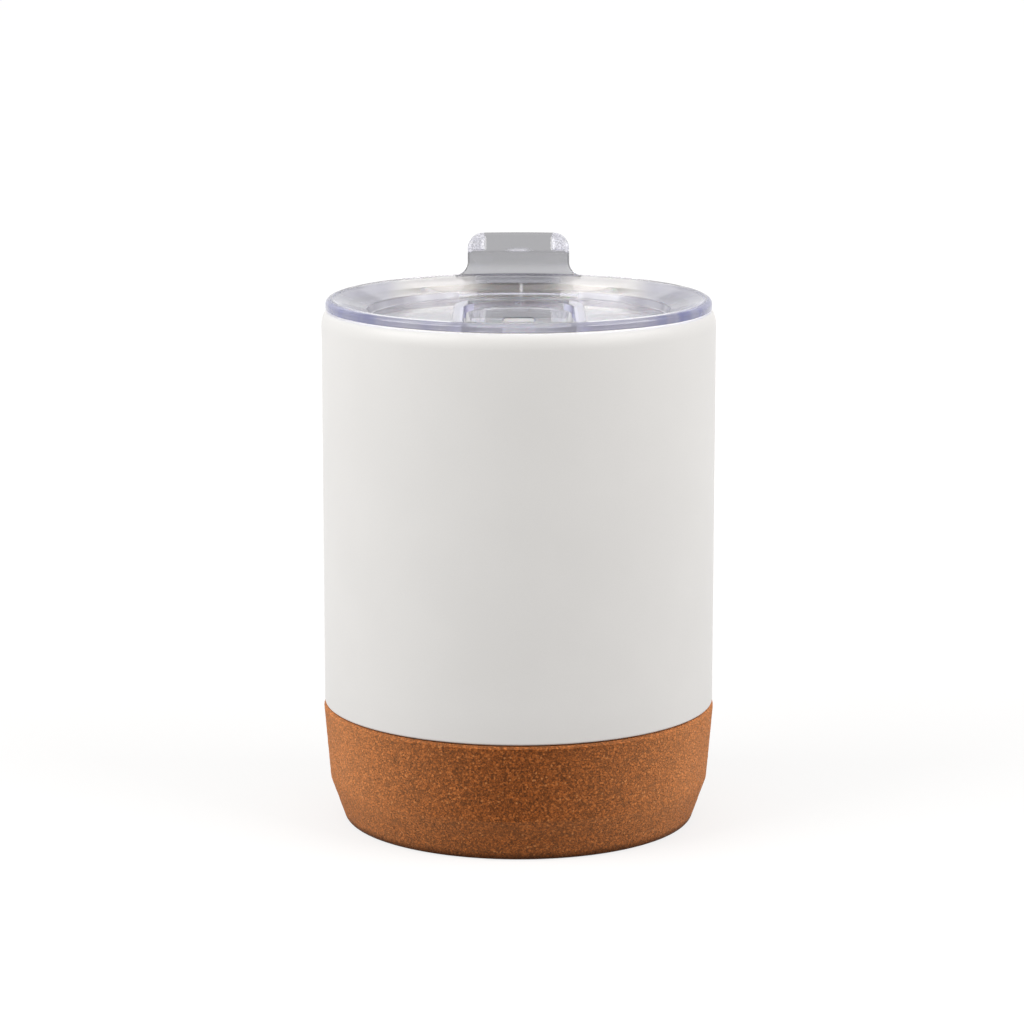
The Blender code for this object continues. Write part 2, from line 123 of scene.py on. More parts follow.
class LidSizes(bpy.types.PropertyGroup):
    """Sizes of the lid, measured up from the plane of the cup's mouth."""

    radius: length_setting("Lid radius", "Outer radius of the lid's flange", reach("lid_body"))
    rim_height: length_setting(
        "Rim height", "Height of the rim's crest at the drinking side", 2.15 * MM
    )
    rim_rise: length_setting("Rim rise", "How much higher the rim's crest is at the tab", 0.65 * MM)
    floor_depth: length_setting(
        "Floor depth", "Depth of the dish's floor below the mouth plane", 1.4 * MM
    )
    tab_width: length_setting("Tab width", "Width of the thumb tab", 21.6 * MM)
    tab_height: length_setting(
        "Tab height",
        "Height of the thumb tab's upper edge",
        reach("lid_body", 2) - reach("outer_shell", 2),
    )


class MugColours(bpy.types.PropertyGroup):
    """Colours of the finishes."""

    coat: colour_setting("Coat", "Colour of the powder coat", (0.80, 0.793, 0.785))
    cork: colour_setting("Cork", "Middle colour of the cork granules", (0.30, 0.077, 0.0125))
    steel: colour_setting("Steel", "Colour of the bare steel", (0.80, 0.765, 0.70))
    clear: colour_setting(
        "Clear plastic", "Tint of the lid's plastic where it is thin", (0.985, 0.985, 0.99)
    )
    edge: colour_setting(
        "Plastic edge", "Tint of the lid's plastic in its thick rim", (0.42, 0.42, 0.60)
    )


class MugStudio(bpy.types.PropertyGroup):
    """The camera and the lamps."""

    lens: bpy.props.FloatProperty(
        name="Lens",
        description="Focal length of the camera, for a sensor 36 mm wide",
        default=120.83,
        unit="CAMERA",
    )
    camera_place: bpy.props.FloatVectorProperty(
        name="Camera place",
        description="Where the camera stands",
        default=(-1.37 * MM, -692.6 * MM, 194.95 * MM),
        subtype="TRANSLATION",
    )
    camera_pitch: bpy.props.FloatProperty(
        name="Camera pitch",
        description="How far the camera looks down",
        default=radians(10.75),
        subtype="ANGLE",
    )
    left_power: power_setting("Left softbox", "Power of the softbox on the left", 5.8)
    right_power: power_setting("Right softbox", "Power of the softbox on the right", 5.2)
    back_power: power_setting("Back softbox", "Power of the softbox behind the mug", 1.1)
    ambient: bpy.props.FloatProperty(
        name="Ambient",
        description="Strength of the light from all round",
        default=0.40,
        min=0.0,
    )


# Shader expressions --------


class Value:
    """A node's output. Arithmetic on it adds Math nodes to its tree."""

    def __init__(self, finish, socket):
        self.finish = finish
        self.socket = socket

    def math(self, operation, *operands):
        settings = {"operation": operation}
        return self.finish.node("ShaderNodeMath", settings, dict(enumerate(operands)))

    def __add__(self, other):
        return self.math("ADD", self, other)

    __radd__ = __add__

    def __mul__(self, other):
        return self.math("MULTIPLY", self, other)

    __rmul__ = __mul__

    def __sub__(self, other):
        return self.math("SUBTRACT", self, other)

    def __rsub__(self, other):
        return self.math("SUBTRACT", other, self)

    def __pow__(self, other):
        return self.math("POWER", self, other)

    def __gt__(self, other):
        return self.math("GREATER_THAN", self, other)

    def __abs__(self):
        return self.math("ABSOLUTE", self)

    def most(self, other):
        return self.math("MAXIMUM", self, other)

    def least(self, other):
        return self.math("MINIMUM", self, other)

    def ramp(self, low, high):
        """0 below low, 1 above high and smooth between them."""
        sockets = {"Value": self, "From Min": low, "From Max": high}
        return self.finish.node("ShaderNodeMapRange", {"interpolation_type": "SMOOTHSTEP"}, sockets)

    def fall(self, low, high):
        """1 below low, 0 above high and smooth between them."""
        return 1 - self.ramp(low, high)

    def ramp_mm(self, low, high):
        """A ramp between two places in millimetres."""
        return self.ramp(low * MM, high * MM)

    def fall_mm(self, low, high):
        """A fall between two places in millimetres."""
        return self.fall(low * MM, high * MM)


class Finish:
    """The shader of a material or a world under construction."""

    def __init__(self, name, kind="materials"):
        self.owner = getattr(bpy.data, kind).new(name)
        self.owner.use_nodes = True
        self.tree = self.owner.node_tree
        self.tree.nodes.clear()

    def node(self, kind, settings=None, sockets=None, output=0):
        """Adds a node: its settings first, then the values or links of its sockets."""
        made = self.tree.nodes.new(kind)
        for key, value in (settings or {}).items():
            if key == "stops":
                ramp = made.color_ramp
                while len(ramp.elements) < len(value):
                    ramp.elements.new(0.5)
                for element, (place, colour) in zip(ramp.elements, value):
                    element.position = place
                    element.color = (*colour, 1.0)
            else:
                setattr(made, key, value)
        for key, value in (sockets or {}).items():
            if isinstance(value, Value):
                self.tree.links.new(value.socket, made.inputs[key])
            elif made.inputs[key].type == "RGBA" and len(value) == 3:
                made.inputs[key].default_value = (*value, 1.0)
            else:
                made.inputs[key].default_value = value
        return Value(self, made.outputs[output]) if made.outputs else None

    def place(self):
        """The point on the piece, in metres."""
        return self.node("ShaderNodeTexCoord", output="Object")

    def axes(self, point):
        """The three parts of a point, as values."""
        split = self.node("ShaderNodeSeparateXYZ", None, {0: point})
        return [Value(self, socket) for socket in split.socket.node.outputs]

    def scaled(self, point, factors):
        return self.node("ShaderNodeVectorMath", {"operation": "MULTIPLY"}, {0: point, 1: factors})

    def added(self, point, other):
        return self.node("ShaderNodeVectorMath", {"operation": "ADD"}, {0: point, 1: other})

    def noise(self, point, size, detail=2.0, roughness=0.5, output="Fac"):
        """Cloudy pattern whose largest features are about size across."""
        sockets = {"Vector": point, "Scale": 1 / size, "Detail": detail, "Roughness": roughness}
        return self.node("ShaderNodeTexNoise", None, sockets, output)

    def cells(self, point, size, feature="F1", output="Distance"):
        """Pattern of cells about size across."""
        sockets = {"Vector": point, "Scale": 1 / size}
        return self.node("ShaderNodeTexVoronoi", {"feature": feature}, sockets, output)

    def cell_tones(self, point, size):
        """One value for each cell of such a pattern, from 0 to 1."""
        colour = self.cells(point, size, output="Color")
        return self.node("ShaderNodeSeparateColor", None, {0: colour})

    def mix(self, factor, first, second, blend="MIX"):
        """Mixes two colours."""
        settings = {"data_type": "RGBA", "blend_type": blend, "clamp_factor": True}
        return self.node("ShaderNodeMix", settings, {0: factor, 6: first, 7: second}, 2)

    def bump(self, height, distance, strength):
        sockets = {"Height": height, "Distance": distance, "Strength": strength}
        return self.node("ShaderNodeBump", None, sockets)

    def surface(self, **sockets):
        """A Principled shader: underscores in the names of its sockets stand for spaces."""
        named = {key.replace("_", " "): value for key, value in sockets.items()}
        return self.node("ShaderNodeBsdfPrincipled", None, named)

    def done(self, shader, volume=None):
        """Ends the tree and gives what it belongs to."""
        world = isinstance(self.owner, bpy.types.World)
        kind = "ShaderNodeOutputWorld" if world else "ShaderNodeOutputMaterial"
        self.node(kind, None, {"Surface": shader} | ({"Volume": volume} if volume else {}))
        return self.owner

    def all_over(self, **sockets):
        """Ends the tree with one Principled shader."""
        return self.done(self.surface(**sockets))


def shade(colour, *factors):
    """A colour times one factor, or times one for each of its parts, and never past white."""
    if len(factors) == 1:
        factors = factors * 3
    return [min(1.0, part * factor) for part, factor in zip(colour, factors)]


# Finishes of the cup --------


def powder_coat(colour):
    """Matt white powder coat: fine orange peel, and grain in its gloss."""
    f = Finish("powder_coat")
    point = f.place()
    peel = f.noise(point, 1.4 * MM)
    grain = f.noise(point, 0.22 * MM, 3.0, 0.6)
    uneven = (grain * 0.5 + f.noise(point, 18 * MM) * 0.5).ramp(0.35, 0.65)
    return f.all_over(
        Base_Color=f.mix(uneven, shade(colour, 0.985), shade(colour, 1.012)),
        Roughness=grain * 0.10 + 0.38,
        Normal=f.bump(peel * 0.75 + grain * 0.25, 0.02 * MM, 0.5),
        IOR=1.48,
    )


CORK_GRANULE = 0.62 * MM
CORK_CRUMB = 0.32 * MM
CORK_BEND = 0.4 * MM  # how far the granules' borders wander
PORE_SHIFT = (0.3, 0.1, 0.7)  # keeps the pores apart from the granules
FLECK_SHIFT = (0.9, 0.4, 0.2)
# Painted sheen: a pale colour added to the cork towards its outline, where light grazes it.
CORK_PAINTED_SHEEN = (0.41, 0.19, 0.084)  # added towards the outline
CORK_SHEEN = (1.0, 0.60, 0.40)


def cork_finish(colour):
    """Agglomerated cork: granules, pale flecks and dark pores, with painted sheen towards its
    outline, weaker low down, and painted shade along its foot.
    """
    f = Finish("agglomerated_cork")
    point = f.place()
    wander = f.noise(point, 0.6 * MM, output="Color")
    bent = f.added(point, f.scaled(wander, (CORK_BEND,) * 3))
    granule = f.cell_tones(bent, CORK_GRANULE)
    crumb = f.cell_tones(bent, CORK_CRUMB)
    seam = f.cells(bent, CORK_GRANULE, "DISTANCE_TO_EDGE").fall(0.0, 0.12)
    fine = f.noise(point, 0.35 * MM, 2.0, 0.6)
    cloud = f.noise(point, 7 * MM, 3.0, 0.6)
    stops = [
        (0.32, shade(colour, 0.35)),
        (0.46, shade(colour, 0.8)),
        (0.57, shade(colour, 1.25)),
        (0.74, shade(colour, 1.75, 2.1, 3.0)),
    ]
    grain = granule * 0.2 + crumb * 0.35 + fine * 0.4 + cloud * 0.05
    tone = f.node("ShaderNodeValToRGB", {"stops": stops}, {"Fac": grain})
    pits = f.cells(f.added(point, PORE_SHIFT), 0.7 * MM)
    pore = pits.fall(0.14, 0.34) * f.noise(point, 1.5 * MM).ramp(0.42, 0.58)
    dark = (pore * 0.9).most(seam * 0.4)
    tone = f.mix(dark, tone, shade(colour, 0.2))
    chips = f.cells(f.added(point, FLECK_SHIFT), 1.1 * MM)
    fleck = chips.fall(0.16, 0.26) * f.noise(point, 2.1 * MM).ramp(0.48, 0.58)
    tone = f.mix(fleck * 0.75, tone, shade(colour, 2.2, 3.2, 6.0))
    # Painted sheen: the base colour is lightened where the surface turns away from the view, less
    # so towards the foot.
    facing = f.node("ShaderNodeLayerWeight", None, {"Blend": 0.5}, "Facing")
    height = f.axes(point)[2]
    painted_sheen = (facing * (2 - facing) * 1.2).least(1.0) * (height.ramp_mm(1, 12) * 0.3 + 0.7)
    tone = f.mix(painted_sheen, tone, CORK_PAINTED_SHEEN, "ADD")
    # Painted shade: the cork is darkened along its lowest two millimetres, where it meets the
    # floor.
    painted_foot_shade = (height + fine * 0.6 * MM).fall_mm(0.4, 2.4)
    tone = f.mix(painted_foot_shade * 0.92, tone, shade(colour, 0.14))
    relief = fine * 0.5 + granule * 0.3 - dark + fleck * 0.2
    return f.all_over(
        Base_Color=tone,
        Roughness=0.7 - fleck * 0.1 - granule * 0.06,
        Normal=f.bump(relief, 0.3 * MM, 0.9),
        IOR=1.4,
        Specular_IOR_Level=0.12,
        Sheen_Weight=0.12,
        Sheen_Roughness=0.4,
        Sheen_Tint=CORK_SHEEN,
    )


SPUN_LINES = (40.0, 40.0, 7000.0)  # squeezes of the steel's patterns, tight along the axis
SPUN_BANDS = (25.0, 25.0, 900.0)
STRETCH_MARKS = (60.0, 60.0, 1500.0)
SEAM_PLACE = 0.6 * MM  # of the liner's weld line, across the middle
SEAM_COLOUR = (0.86, 0.84, 0.80)


def spun_steel(name, colour, seam=False):
    """Bare stainless steel with fine lines round its axis, and a weld line at the back."""
    f = Finish(name)
    point = f.place()
    lines = f.noise(f.scaled(point, SPUN_LINES), 1.0, 3.0, 0.6)
    bands = f.noise(f.scaled(point, SPUN_BANDS), 1.0)
    relief = lines * 0.6 + bands * 0.4
    tone = f.mix(relief.ramp(0.3, 0.7), shade(colour, 0.90), shade(colour, 1.06))
    rough = lines * 0.08 + 0.37 + f.noise(point, 9 * MM, 3.0, 0.6) * 0.05
    metal = 1.0
    if seam:
        x, y, _ = f.axes(point)
        line = abs(x - SEAM_PLACE).fall_mm(0.18, 0.42) * (y > 0.0)
        tone = f.mix(line * 0.8, tone, SEAM_COLOUR)
        metal = 1 - line * 0.6
        rough = rough + line * 0.25
        relief = relief + line * 2.0
    return f.all_over(
        Base_Color=tone,
        Metallic=metal,
        Roughness=rough,
        Normal=f.bump(relief, 0.006 * MM, 0.7),
        Anisotropic=0.95,
        Anisotropic_Rotation=0.25,
    )


def pressed_steel(name, colour):
    """Deep-drawn steel that is never polished: soft stretch marks and scale."""
    f = Finish(name)
    point = f.place()
    stretch = f.noise(f.scaled(point, STRETCH_MARKS), 1.0, 3.0, 0.6)
    scale = f.noise(point, 2.4 * MM, 4.0, 0.65)
    return f.all_over(
        Base_Color=f.mix(scale.ramp(0.3, 0.7), shade(colour, 0.8), colour),
        Metallic=1.0,
        Roughness=scale * 0.22 + 0.32,
        Normal=f.bump(stretch * 0.5 + scale * 0.5, 0.02 * MM, 0.6),
    )


def sintered(name, colour):
    """Pressed powder of the getter: coarse dark grains."""
    f = Finish(name)
    point = f.place()
    grain = f.cells(point, 0.35 * MM)
    fine = f.noise(point, 0.2 * MM, 3.0)
    return f.all_over(
        Base_Color=f.mix(grain.ramp(0.1, 0.7), colour, shade(colour, 0.5)),
        Metallic=0.6,
        Roughness=fine * 0.2 + 0.7,
        Normal=f.bump(grain + fine * 0.4, 0.08 * MM, 0.6),
    )


def glass_bead(name, colour):
    """Solder glass: dark and glossy, with small bubbles."""
    f = Finish(name)
    point = f.place()
    bubble = f.cells(point, 0.5 * MM).fall(0.05, 0.22)
    cloud = f.noise(point, 1.5 * MM, 3.0)
    tone = f.mix(cloud.ramp(0.35, 0.65), colour, shade(colour, 1.5))
    return f.all_over(
        Base_Color=f.mix(bubble * 0.5, tone, (0.5, 0.52, 0.5)),
        Roughness=cloud * 0.12 + 0.08,
        Normal=f.bump(cloud - bubble * 0.6, 0.03 * MM, 0.5),
    )


def glue_finish(name, colour):
    """Cured glue pad with rolled-out streaks."""
    f = Finish(name)
    point = f.place()
    streak = f.noise(f.scaled(point, (1.0, 0.25, 1.0)), 1.2 * MM, 3.0, 0.6)
    spots = f.cells(point, 1.4 * MM).fall(0.10, 0.25)
    return f.all_over(
        Base_Color=f.mix(streak.ramp(0.3, 0.7), shade(colour, 0.85), colour),
        Roughness=streak * 0.25 + 0.45,
        Normal=f.bump(streak - spots * 0.5, 0.05 * MM, 0.5),
    )


# Finishes of the lid --------

PLASTIC_IOR = 1.49
DEPTH_COLOUR = (0.1, 0.1, 0.6)
DEPTH_DENSITY = 18.0
# Painted shade: the rim's crest at the back is tinted grey, as if a dark backdrop showed in it.
CREST_PAINTED_SHADE = (0.47, 0.465, 0.46)  # of the clear plastic: the rim's crest at the back
# Painted shade: the tab's clear plastic is tinted grey as if a dark backdrop showed through it,
# darkest where it runs into the rim.
TAB_FOOT_PAINTED_SHADE = (0.28, 0.28, 0.29)  # where the tab runs down into the rim
TAB_PAINTED_SHADE = (0.39, 0.39, 0.40)
FRONT_TINT = (0.49, 0.49, 0.58)  # of the milky plastic: the rim at the front
# Painted shade: the milky rim darker and bluer at its sides, where it is seen edge-on.
SIDE_PAINTED_SHADE = (0.17, 0.19, 0.46)  # the rim at its sides
# Painted shade: the milky plastic greyed at the back.
BACK_PAINTED_SHADE = (0.36, 0.36, 0.37)
RAIL_TINT = (0.60, 0.60, 0.80)
# Painted highlight: near-white milk at the upper corners of the tab and along its crease.
CHEEK_PAINTED_HIGHLIGHT = (0.92, 0.92, 1.0)
# Painted reflection: cream on the ledge, as if the lit steel below shone through it.
LEDGE_PAINTED_REFLECTION = (0.95, 0.92, 0.86)
# Painted shade: darkens the ledge's far sides, the step and the dish floor beside the channel.
LEDGE_SIDE_PAINTED_SHADE = (0.31, 0.31, 0.39)
STEP_PAINTED_SHADE = (0.41, 0.41, 0.47)
STREAK_TINT = (0.62, 0.62, 0.68)
RIM_HAZE = 0.6


class LidZones:
    """Where the lid is tinted or milky, mostly to paint shade, highlights and a reflection: masks
    by millimetres from its axis and its mouth plane.
    """

    def __init__(self, f, point, cloud, mouth):
        x, y, z = f.axes(point)
        up, side, radius = z - mouth, abs(x), (x * x + y * y) ** 0.5
        self.up, self.side = up, side
        sides_and_back = y.ramp_mm(-24, -6)
        self.back = y.ramp_mm(-6, 20)
        # Painted shade: greys the rim's crest at the back.
        self.crest = up.ramp_mm(0.9, 1.9) * self.back
        self.tab = side.fall_mm(10.9, 12.3) * y.ramp_mm(32, 33) * up.ramp_mm(0.4, 1.2)
        self.rim = radius.ramp_mm(37.9, 38.7) * up.fall_mm(2.2, 3.2)
        rail = side.ramp_mm(10.7, 11.0) * side.fall_mm(13.0, 13.4)
        self.rail = rail * up.ramp_mm(-1.6, -1.0) * radius.fall_mm(33.5, 34.5)
        # Painted highlights: glints at the tab's upper corners and along the middle and the ends of
        # its crease.
        cheek = side.ramp_mm(7.0, 7.5) * up.ramp_mm(7.5, 8.1)
        crease = abs(up - 7.85 * MM).fall_mm(0.1, 0.4)
        crease = crease * side.fall_mm(0.8, 4.0).most(side.ramp_mm(9.6, 10.3))
        self.tab_painted_highlights = cheek.most(crease)
        self.tab_highlight_haze = cheek * (cloud.ramp(0.38, 0.62) * 0.42 + 0.22) + crease * 0.4
        # Painted reflection on the sloping ledge, turning to painted shade at its far sides.
        ledge = radius.ramp_mm(29.9, 30.2) * radius.fall_mm(36.9, 37.7) * sides_and_back
        ledge = ledge * up.ramp_mm(-0.1, 0.2) * up.fall_mm(2.4, 3.0)
        self.ledge = ledge * side.ramp_mm(5, 11)
        # Painted shade at the step round the dish and on the dish floor beside the channel.
        dish = radius.fall_mm(30.6, 31.0)
        self.step = dish * radius.ramp_mm(29.8, 30.1) * sides_and_back * side.ramp_mm(9, 15)
        pool = dish * y.fall_mm(3, 13) * side.ramp_mm(13.4, 14.4)
        self.pool = self.step.most(pool) * up.ramp_mm(-2.8, -2.4)


def flow_marks(f, point):
    """The faint relief of moulded plastic, and its fine clouding."""
    flow = f.noise(f.scaled(point, (1.0, 1.0, 0.5)), 7 * MM)
    return f.bump(flow, 0.05 * MM, 0.35), f.noise(point, 0.5 * MM, 3.0, 0.6)


def clear_tint(f, thin, cloud):
    """The colour of the thin plastic, a little uneven."""
    return f.mix(cloud.ramp(0.3, 0.7), shade(thin, 0.985), thin)


def clear_surface(f, tint, cloud, normal):
    """Glossy plastic that lets light through."""
    return f.surface(
        Base_Color=tint,
        Roughness=cloud * 0.04 + 0.03,
        Transmission_Weight=1.0,
        IOR=PLASTIC_IOR,
        Normal=normal,
    )


def see_through(f, shader, thin):
    """Ends a clear finish: its shadows are light, and its depth has a cool tint."""
    shadow = f.node("ShaderNodeLightPath", output="Is Shadow Ray")
    open_way = f.node("ShaderNodeBsdfTransparent", None, {"Color": thin})
    mixed = f.node("ShaderNodeMixShader", None, {0: shadow, 1: shader, 2: open_way})
    sockets = {"Color": DEPTH_COLOUR, "Density": DEPTH_DENSITY}
    return f.done(mixed, f.node("ShaderNodeVolumeAbsorption", None, sockets))


def slide_plastic(thin):
    """Clear plastic of the slide, with faint flow marks."""
    f = Finish("slide_plastic")
    normal, cloud = flow_marks(f, f.place())
    return see_through(f, clear_surface(f, clear_tint(f, thin, cloud), cloud, normal), thin)


def milky_tint(f, zones, thick):
    """The colour of the lid's milky layer, from zone to zone: bluish in the rim and rails, with
    painted shade, painted highlights and a painted cream reflection elsewhere.
    """
    side = zones.side
    tint = f.mix(side.ramp_mm(5, 21), FRONT_TINT, thick)
    tint = f.mix(side.ramp_mm(22, 34), tint, SIDE_PAINTED_SHADE)
    tint = f.mix(zones.back, tint, BACK_PAINTED_SHADE)
    tint = f.mix(zones.rail, tint, RAIL_TINT)
    tint = f.mix(zones.tab_painted_highlights, tint, CHEEK_PAINTED_HIGHLIGHT)
    tint = f.mix(zones.ledge, tint, f.mix(side.ramp_mm(20, 29), LEDGE_PAINTED_REFLECTION, LEDGE_SIDE_PAINTED_SHADE))
    return f.mix(zones.pool, tint, f.mix(zones.step, LEDGE_SIDE_PAINTED_SHADE, STEP_PAINTED_SHADE))


def haze(zones):
    """How milky the lid is, from zone to zone."""
    made = (zones.rim * (RIM_HAZE - zones.back * 0.25)).most(zones.rail * (1 - zones.back) * 0.5)
    made = made.most(zones.tab_highlight_haze)
    made = made.most(zones.ledge * (zones.side.ramp_mm(20, 27) * 0.45 + 0.3))
    return made.most(zones.pool * (zones.step * 0.45 + 0.35))


def lid_plastic(thin, thick, mouth):
    """Clear plastic of the lid: painted shade in grey at its tab and its back crest, and a milky
    layer, bluish in its thick rim, that carries painted shade, painted highlights and a painted
    reflection.
    """
    f = Finish("clear_plastic")
    point = f.place()
    normal, cloud = flow_marks(f, point)
    zones = LidZones(f, point, cloud, mouth)
    # Painted shade: the tab tinted grey, with a dark band at its foot and a paler band just above
    # it.
    painted_tab_shade = f.mix(zones.up.ramp_mm(2.4, 3.2), TAB_FOOT_PAINTED_SHADE, shade(TAB_PAINTED_SHADE, 1.3))
    painted_tab_shade = f.mix(zones.up.ramp_mm(3.6, 5.6), painted_tab_shade, TAB_PAINTED_SHADE)
    tint = f.mix(zones.crest, clear_tint(f, thin, cloud), CREST_PAINTED_SHADE)
    clear = clear_surface(f, f.mix(zones.tab, tint, painted_tab_shade), cloud, normal)
    streak = f.noise(f.scaled(point, (1.0, 1.0, 0.2)), 5 * MM).ramp(0.3, 0.7)
    streak = streak * (0.5 - zones.ledge * 0.4)
    milk = f.surface(
        Base_Color=f.mix(streak, milky_tint(f, zones, thick), STREAK_TINT),
        Roughness=cloud * 0.06 + 0.10,
        IOR=PLASTIC_IOR,
        Normal=normal,
    )
    shader = f.node("ShaderNodeMixShader", None, {0: haze(zones), 1: clear, 2: milk})
    return see_through(f, shader, thin)


def silicone_finish(name, colour):
    """Translucent silicone with a matt moulded skin."""
    f = Finish(name)
    point = f.place()
    skin = f.noise(point, 0.3 * MM, 3.0, 0.6)
    cloud = f.noise(point, 4 * MM)
    return f.all_over(
        Base_Color=f.mix(cloud.ramp(0.3, 0.7), shade(colour, 0.95), colour),
        Roughness=skin * 0.14 + 0.38,
        Transmission_Weight=0.55,
        IOR=1.41,
        Subsurface_Weight=0.4,
        Subsurface_Scale=1.5 * MM,
        Normal=f.bump(skin, 0.02 * MM, 0.4),
    )


# Shapes --------

TURNED_SHARP = 40  # degrees between faces past which an edge is drawn sharp
CUT_SHARP = 32
AXIS = 1e-6  # a point nearer the axis than this lies on it
MERGE = 1e-7  # points nearer each other than this become one
NEARLY_STRAIGHT = 0.02  # a corner isn't rounded if half its turn is less, in radians
FILLET_SHARE = 0.48  # of a side, the most that one of its fillets takes up


def arc(centre, radii, start, end, steps):
    """Points of an elliptical arc, from one angle in degrees to another."""
    points = []
    for i in range(steps + 1):
        angle = radians(start + (end - start) * i / steps)
        points.append((centre[0] + radii[0] * cos(angle), centre[1] + radii[1] * sin(angle)))
    return points


def filleted(corners, steps):
    """Rounds the corners of a closed outline of (x, y, fillet) or (x, y) points."""
    made = []
    count = len(corners)
    for i, corner in enumerate(corners):
        here = Vector(corner[:2])
        if len(corner) < 3 or corner[2] <= 0:
            made.append(tuple(here))
            continue
        before = Vector(corners[i - 1][:2]) - here
        after = Vector(corners[(i + 1) % count][:2]) - here
        half = before.angle(after) / 2
        if pi / 2 - half < NEARLY_STRAIGHT:
            made.append(tuple(here))
            continue
        longest = FILLET_SHARE * min(before.length, after.length)
        run = min(corner[2] / sin(half) * cos(half), longest)
        start = here + before.normalized() * run
        end = here + after.normalized() * run
        for k in range(steps + 1):
            t = k / steps
            made.append(tuple((1 - t) ** 2 * start + 2 * t * (1 - t) * here + t * t * end))
    return made


def spaced(points, run):
    """Adds points along an open line, so that none lie further apart than run."""
    made = [points[0]]
    for start, end in zip(points, points[1:]):
        count = max(1, ceil(dist(start, end) / run))
        for i in range(1, count + 1):
            made.append(tuple(a + (b - a) * i / count for a, b in zip(start, end)))
    return made


def add_piece(name, builder, material, sharp=TURNED_SHARP):
    """Turns a bmesh into a smooth-shaded object."""
    bmesh.ops.remove_doubles(builder, verts=builder.verts, dist=MERGE)
    bmesh.ops.recalc_face_normals(builder, faces=builder.faces)
    mesh = bpy.data.meshes.new(name)
    builder.to_mesh(mesh)
    builder.free()
    mesh.shade_smooth()
    mesh.set_sharp_from_angle(angle=radians(sharp))
    if material:
        mesh.materials.append(material)
    made = bpy.data.objects.new(name, mesh)
    bpy.context.scene.collection.objects.link(made)
    return made


def turned_builder(outline, around=AROUND):
    """Spins a closed outline of (radius, height) points about Z."""
    builder = bmesh.new()
    rings = []
    for radius, height in outline:
        if radius < AXIS:
            rings.append([builder.verts.new((0, 0, height))] * around)
            continue
        ring = []
        for i in range(around):
            angle = 2 * pi * i / around
            ring.append(builder.verts.new((radius * cos(angle), radius * sin(angle), height)))
        rings.append(ring)
    for i, ring in enumerate(rings):
        other = rings[(i + 1) % len(rings)]
        if ring[0] is ring[1] and other[0] is other[1]:
            continue
        for k in range(around):
            n = (k + 1) % around
            corners = [ring[k], ring[n], other[n], other[k]]
            unique = list(dict.fromkeys(corners))
            if len(unique) > 2:
                builder.faces.new(unique)
    return builder


def turned(name, outline, material):
    return add_piece(name, turned_builder(outline), material)


def loft_builder(loops):
    """Joins loops of as many points each, in order, and closes both ends with a face."""
    builder = bmesh.new()
    rings = [[builder.verts.new(point) for point in loop] for loop in loops]
    count = len(rings[0])
    for ring, other in zip(rings, rings[1:]):
        for k in range(count):
            n = (k + 1) % count
            builder.faces.new((ring[k], ring[n], other[n], other[k]))
    builder.faces.new(list(reversed(rings[0])))
    builder.faces.new(rings[-1])
    return builder


def plan_loft(plan_at, levels):
    """Lofts plans: plan_at(inset) gives the (x, y) points, levels are (inset, height) pairs."""
    return loft_builder([[(x, y, z) for x, y in plan_at(inset)] for inset, z in levels])


def apply_modifiers(piece):
    """Bakes an object's modifiers into its mesh."""
    graph = bpy.context.evaluated_depsgraph_get()
    mesh = bpy.data.meshes.new_from_object(piece.evaluated_get(graph), depsgraph=graph)
    piece.modifiers.clear()
    piece.data = mesh


def combined(piece, unions, cuts):
    """Joins guides to a piece, cuts others from it, and removes them all."""
    for operation, chosen in (("UNION", unions), ("DIFFERENCE", cuts)):
        for guide in chosen:
            boolean = piece.modifiers.new(guide.name, "BOOLEAN")
            boolean.operation = operation
            boolean.solver = "EXACT"
            boolean.object = guide
    apply_modifiers(piece)
    for guide in [*unions, *cuts]:
        bpy.data.objects.remove(guide, do_unlink=True)
    piece.data.shade_smooth()
    piece.data.set_sharp_from_angle(angle=radians(CUT_SHARP))
    weighted = piece.modifiers.new("weighted", "WEIGHTED_NORMAL")
    weighted.keep_sharp = True
    weighted.weight = 100
    apply_modifiers(piece)


def front_arc(half, radius):
    """Front edge concentric with the lid, from the left side to the right."""
    edge = degrees(atan2(-sqrt(radius**2 - half**2), half))
    return arc((0, 0), (radius, radius), -180 - edge, edge, 24)


def tongue_plan(half, back_centre, front_radius):
    """Straight sides, a half-round back end and a front edge concentric with the lid."""
    return arc((0, back_centre), (half, half), 0, 180, 40) + front_arc(half, front_radius)


def tongue_loft(half, back_centre, front_radius, levels):
    """A block on such a plan, drawn in by each level's inset."""
    return plan_loft(
        lambda inset: tongue_plan(half - inset, back_centre, front_radius - inset), levels
    )


def rounded_plan(width, front, back, corner, steps=8):
    """A rectangle with round corners, from y = front to y = back."""
    half = width / 2 - corner
    plan = []
    for x, y, start in (
        (half, back - corner, 0),
        (-half, back - corner, 90),
        (-half, front + corner, 180),
        (half, front + corner, 270),
    ):
        plan += arc((x, y), (corner, corner), start, start + 90, steps)
    return plan


def edge_levels(low, high, low_edge, high_edge, steps):
    """(inset, height) pairs of a block whose lower and upper edges are rounded."""
    levels = []
    for i in range(steps + 1 if low_edge else 1):
        t = radians(90 * i / steps) if low_edge else pi / 2
        levels.append((low_edge * (1 - sin(t)), low + low_edge * (1 - cos(t))))
    for i in range(steps + 1 if high_edge else 1):
        t = radians(90 * i / steps) if high_edge else 0
        levels.append((high_edge * (1 - cos(t)), high - high_edge * (1 - sin(t))))
    return levels


def hand_in(piece, body, node):
    """Rides a piece on its body and hides the node that it stands for."""
    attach(piece, body)
    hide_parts(node)


# Cup --------

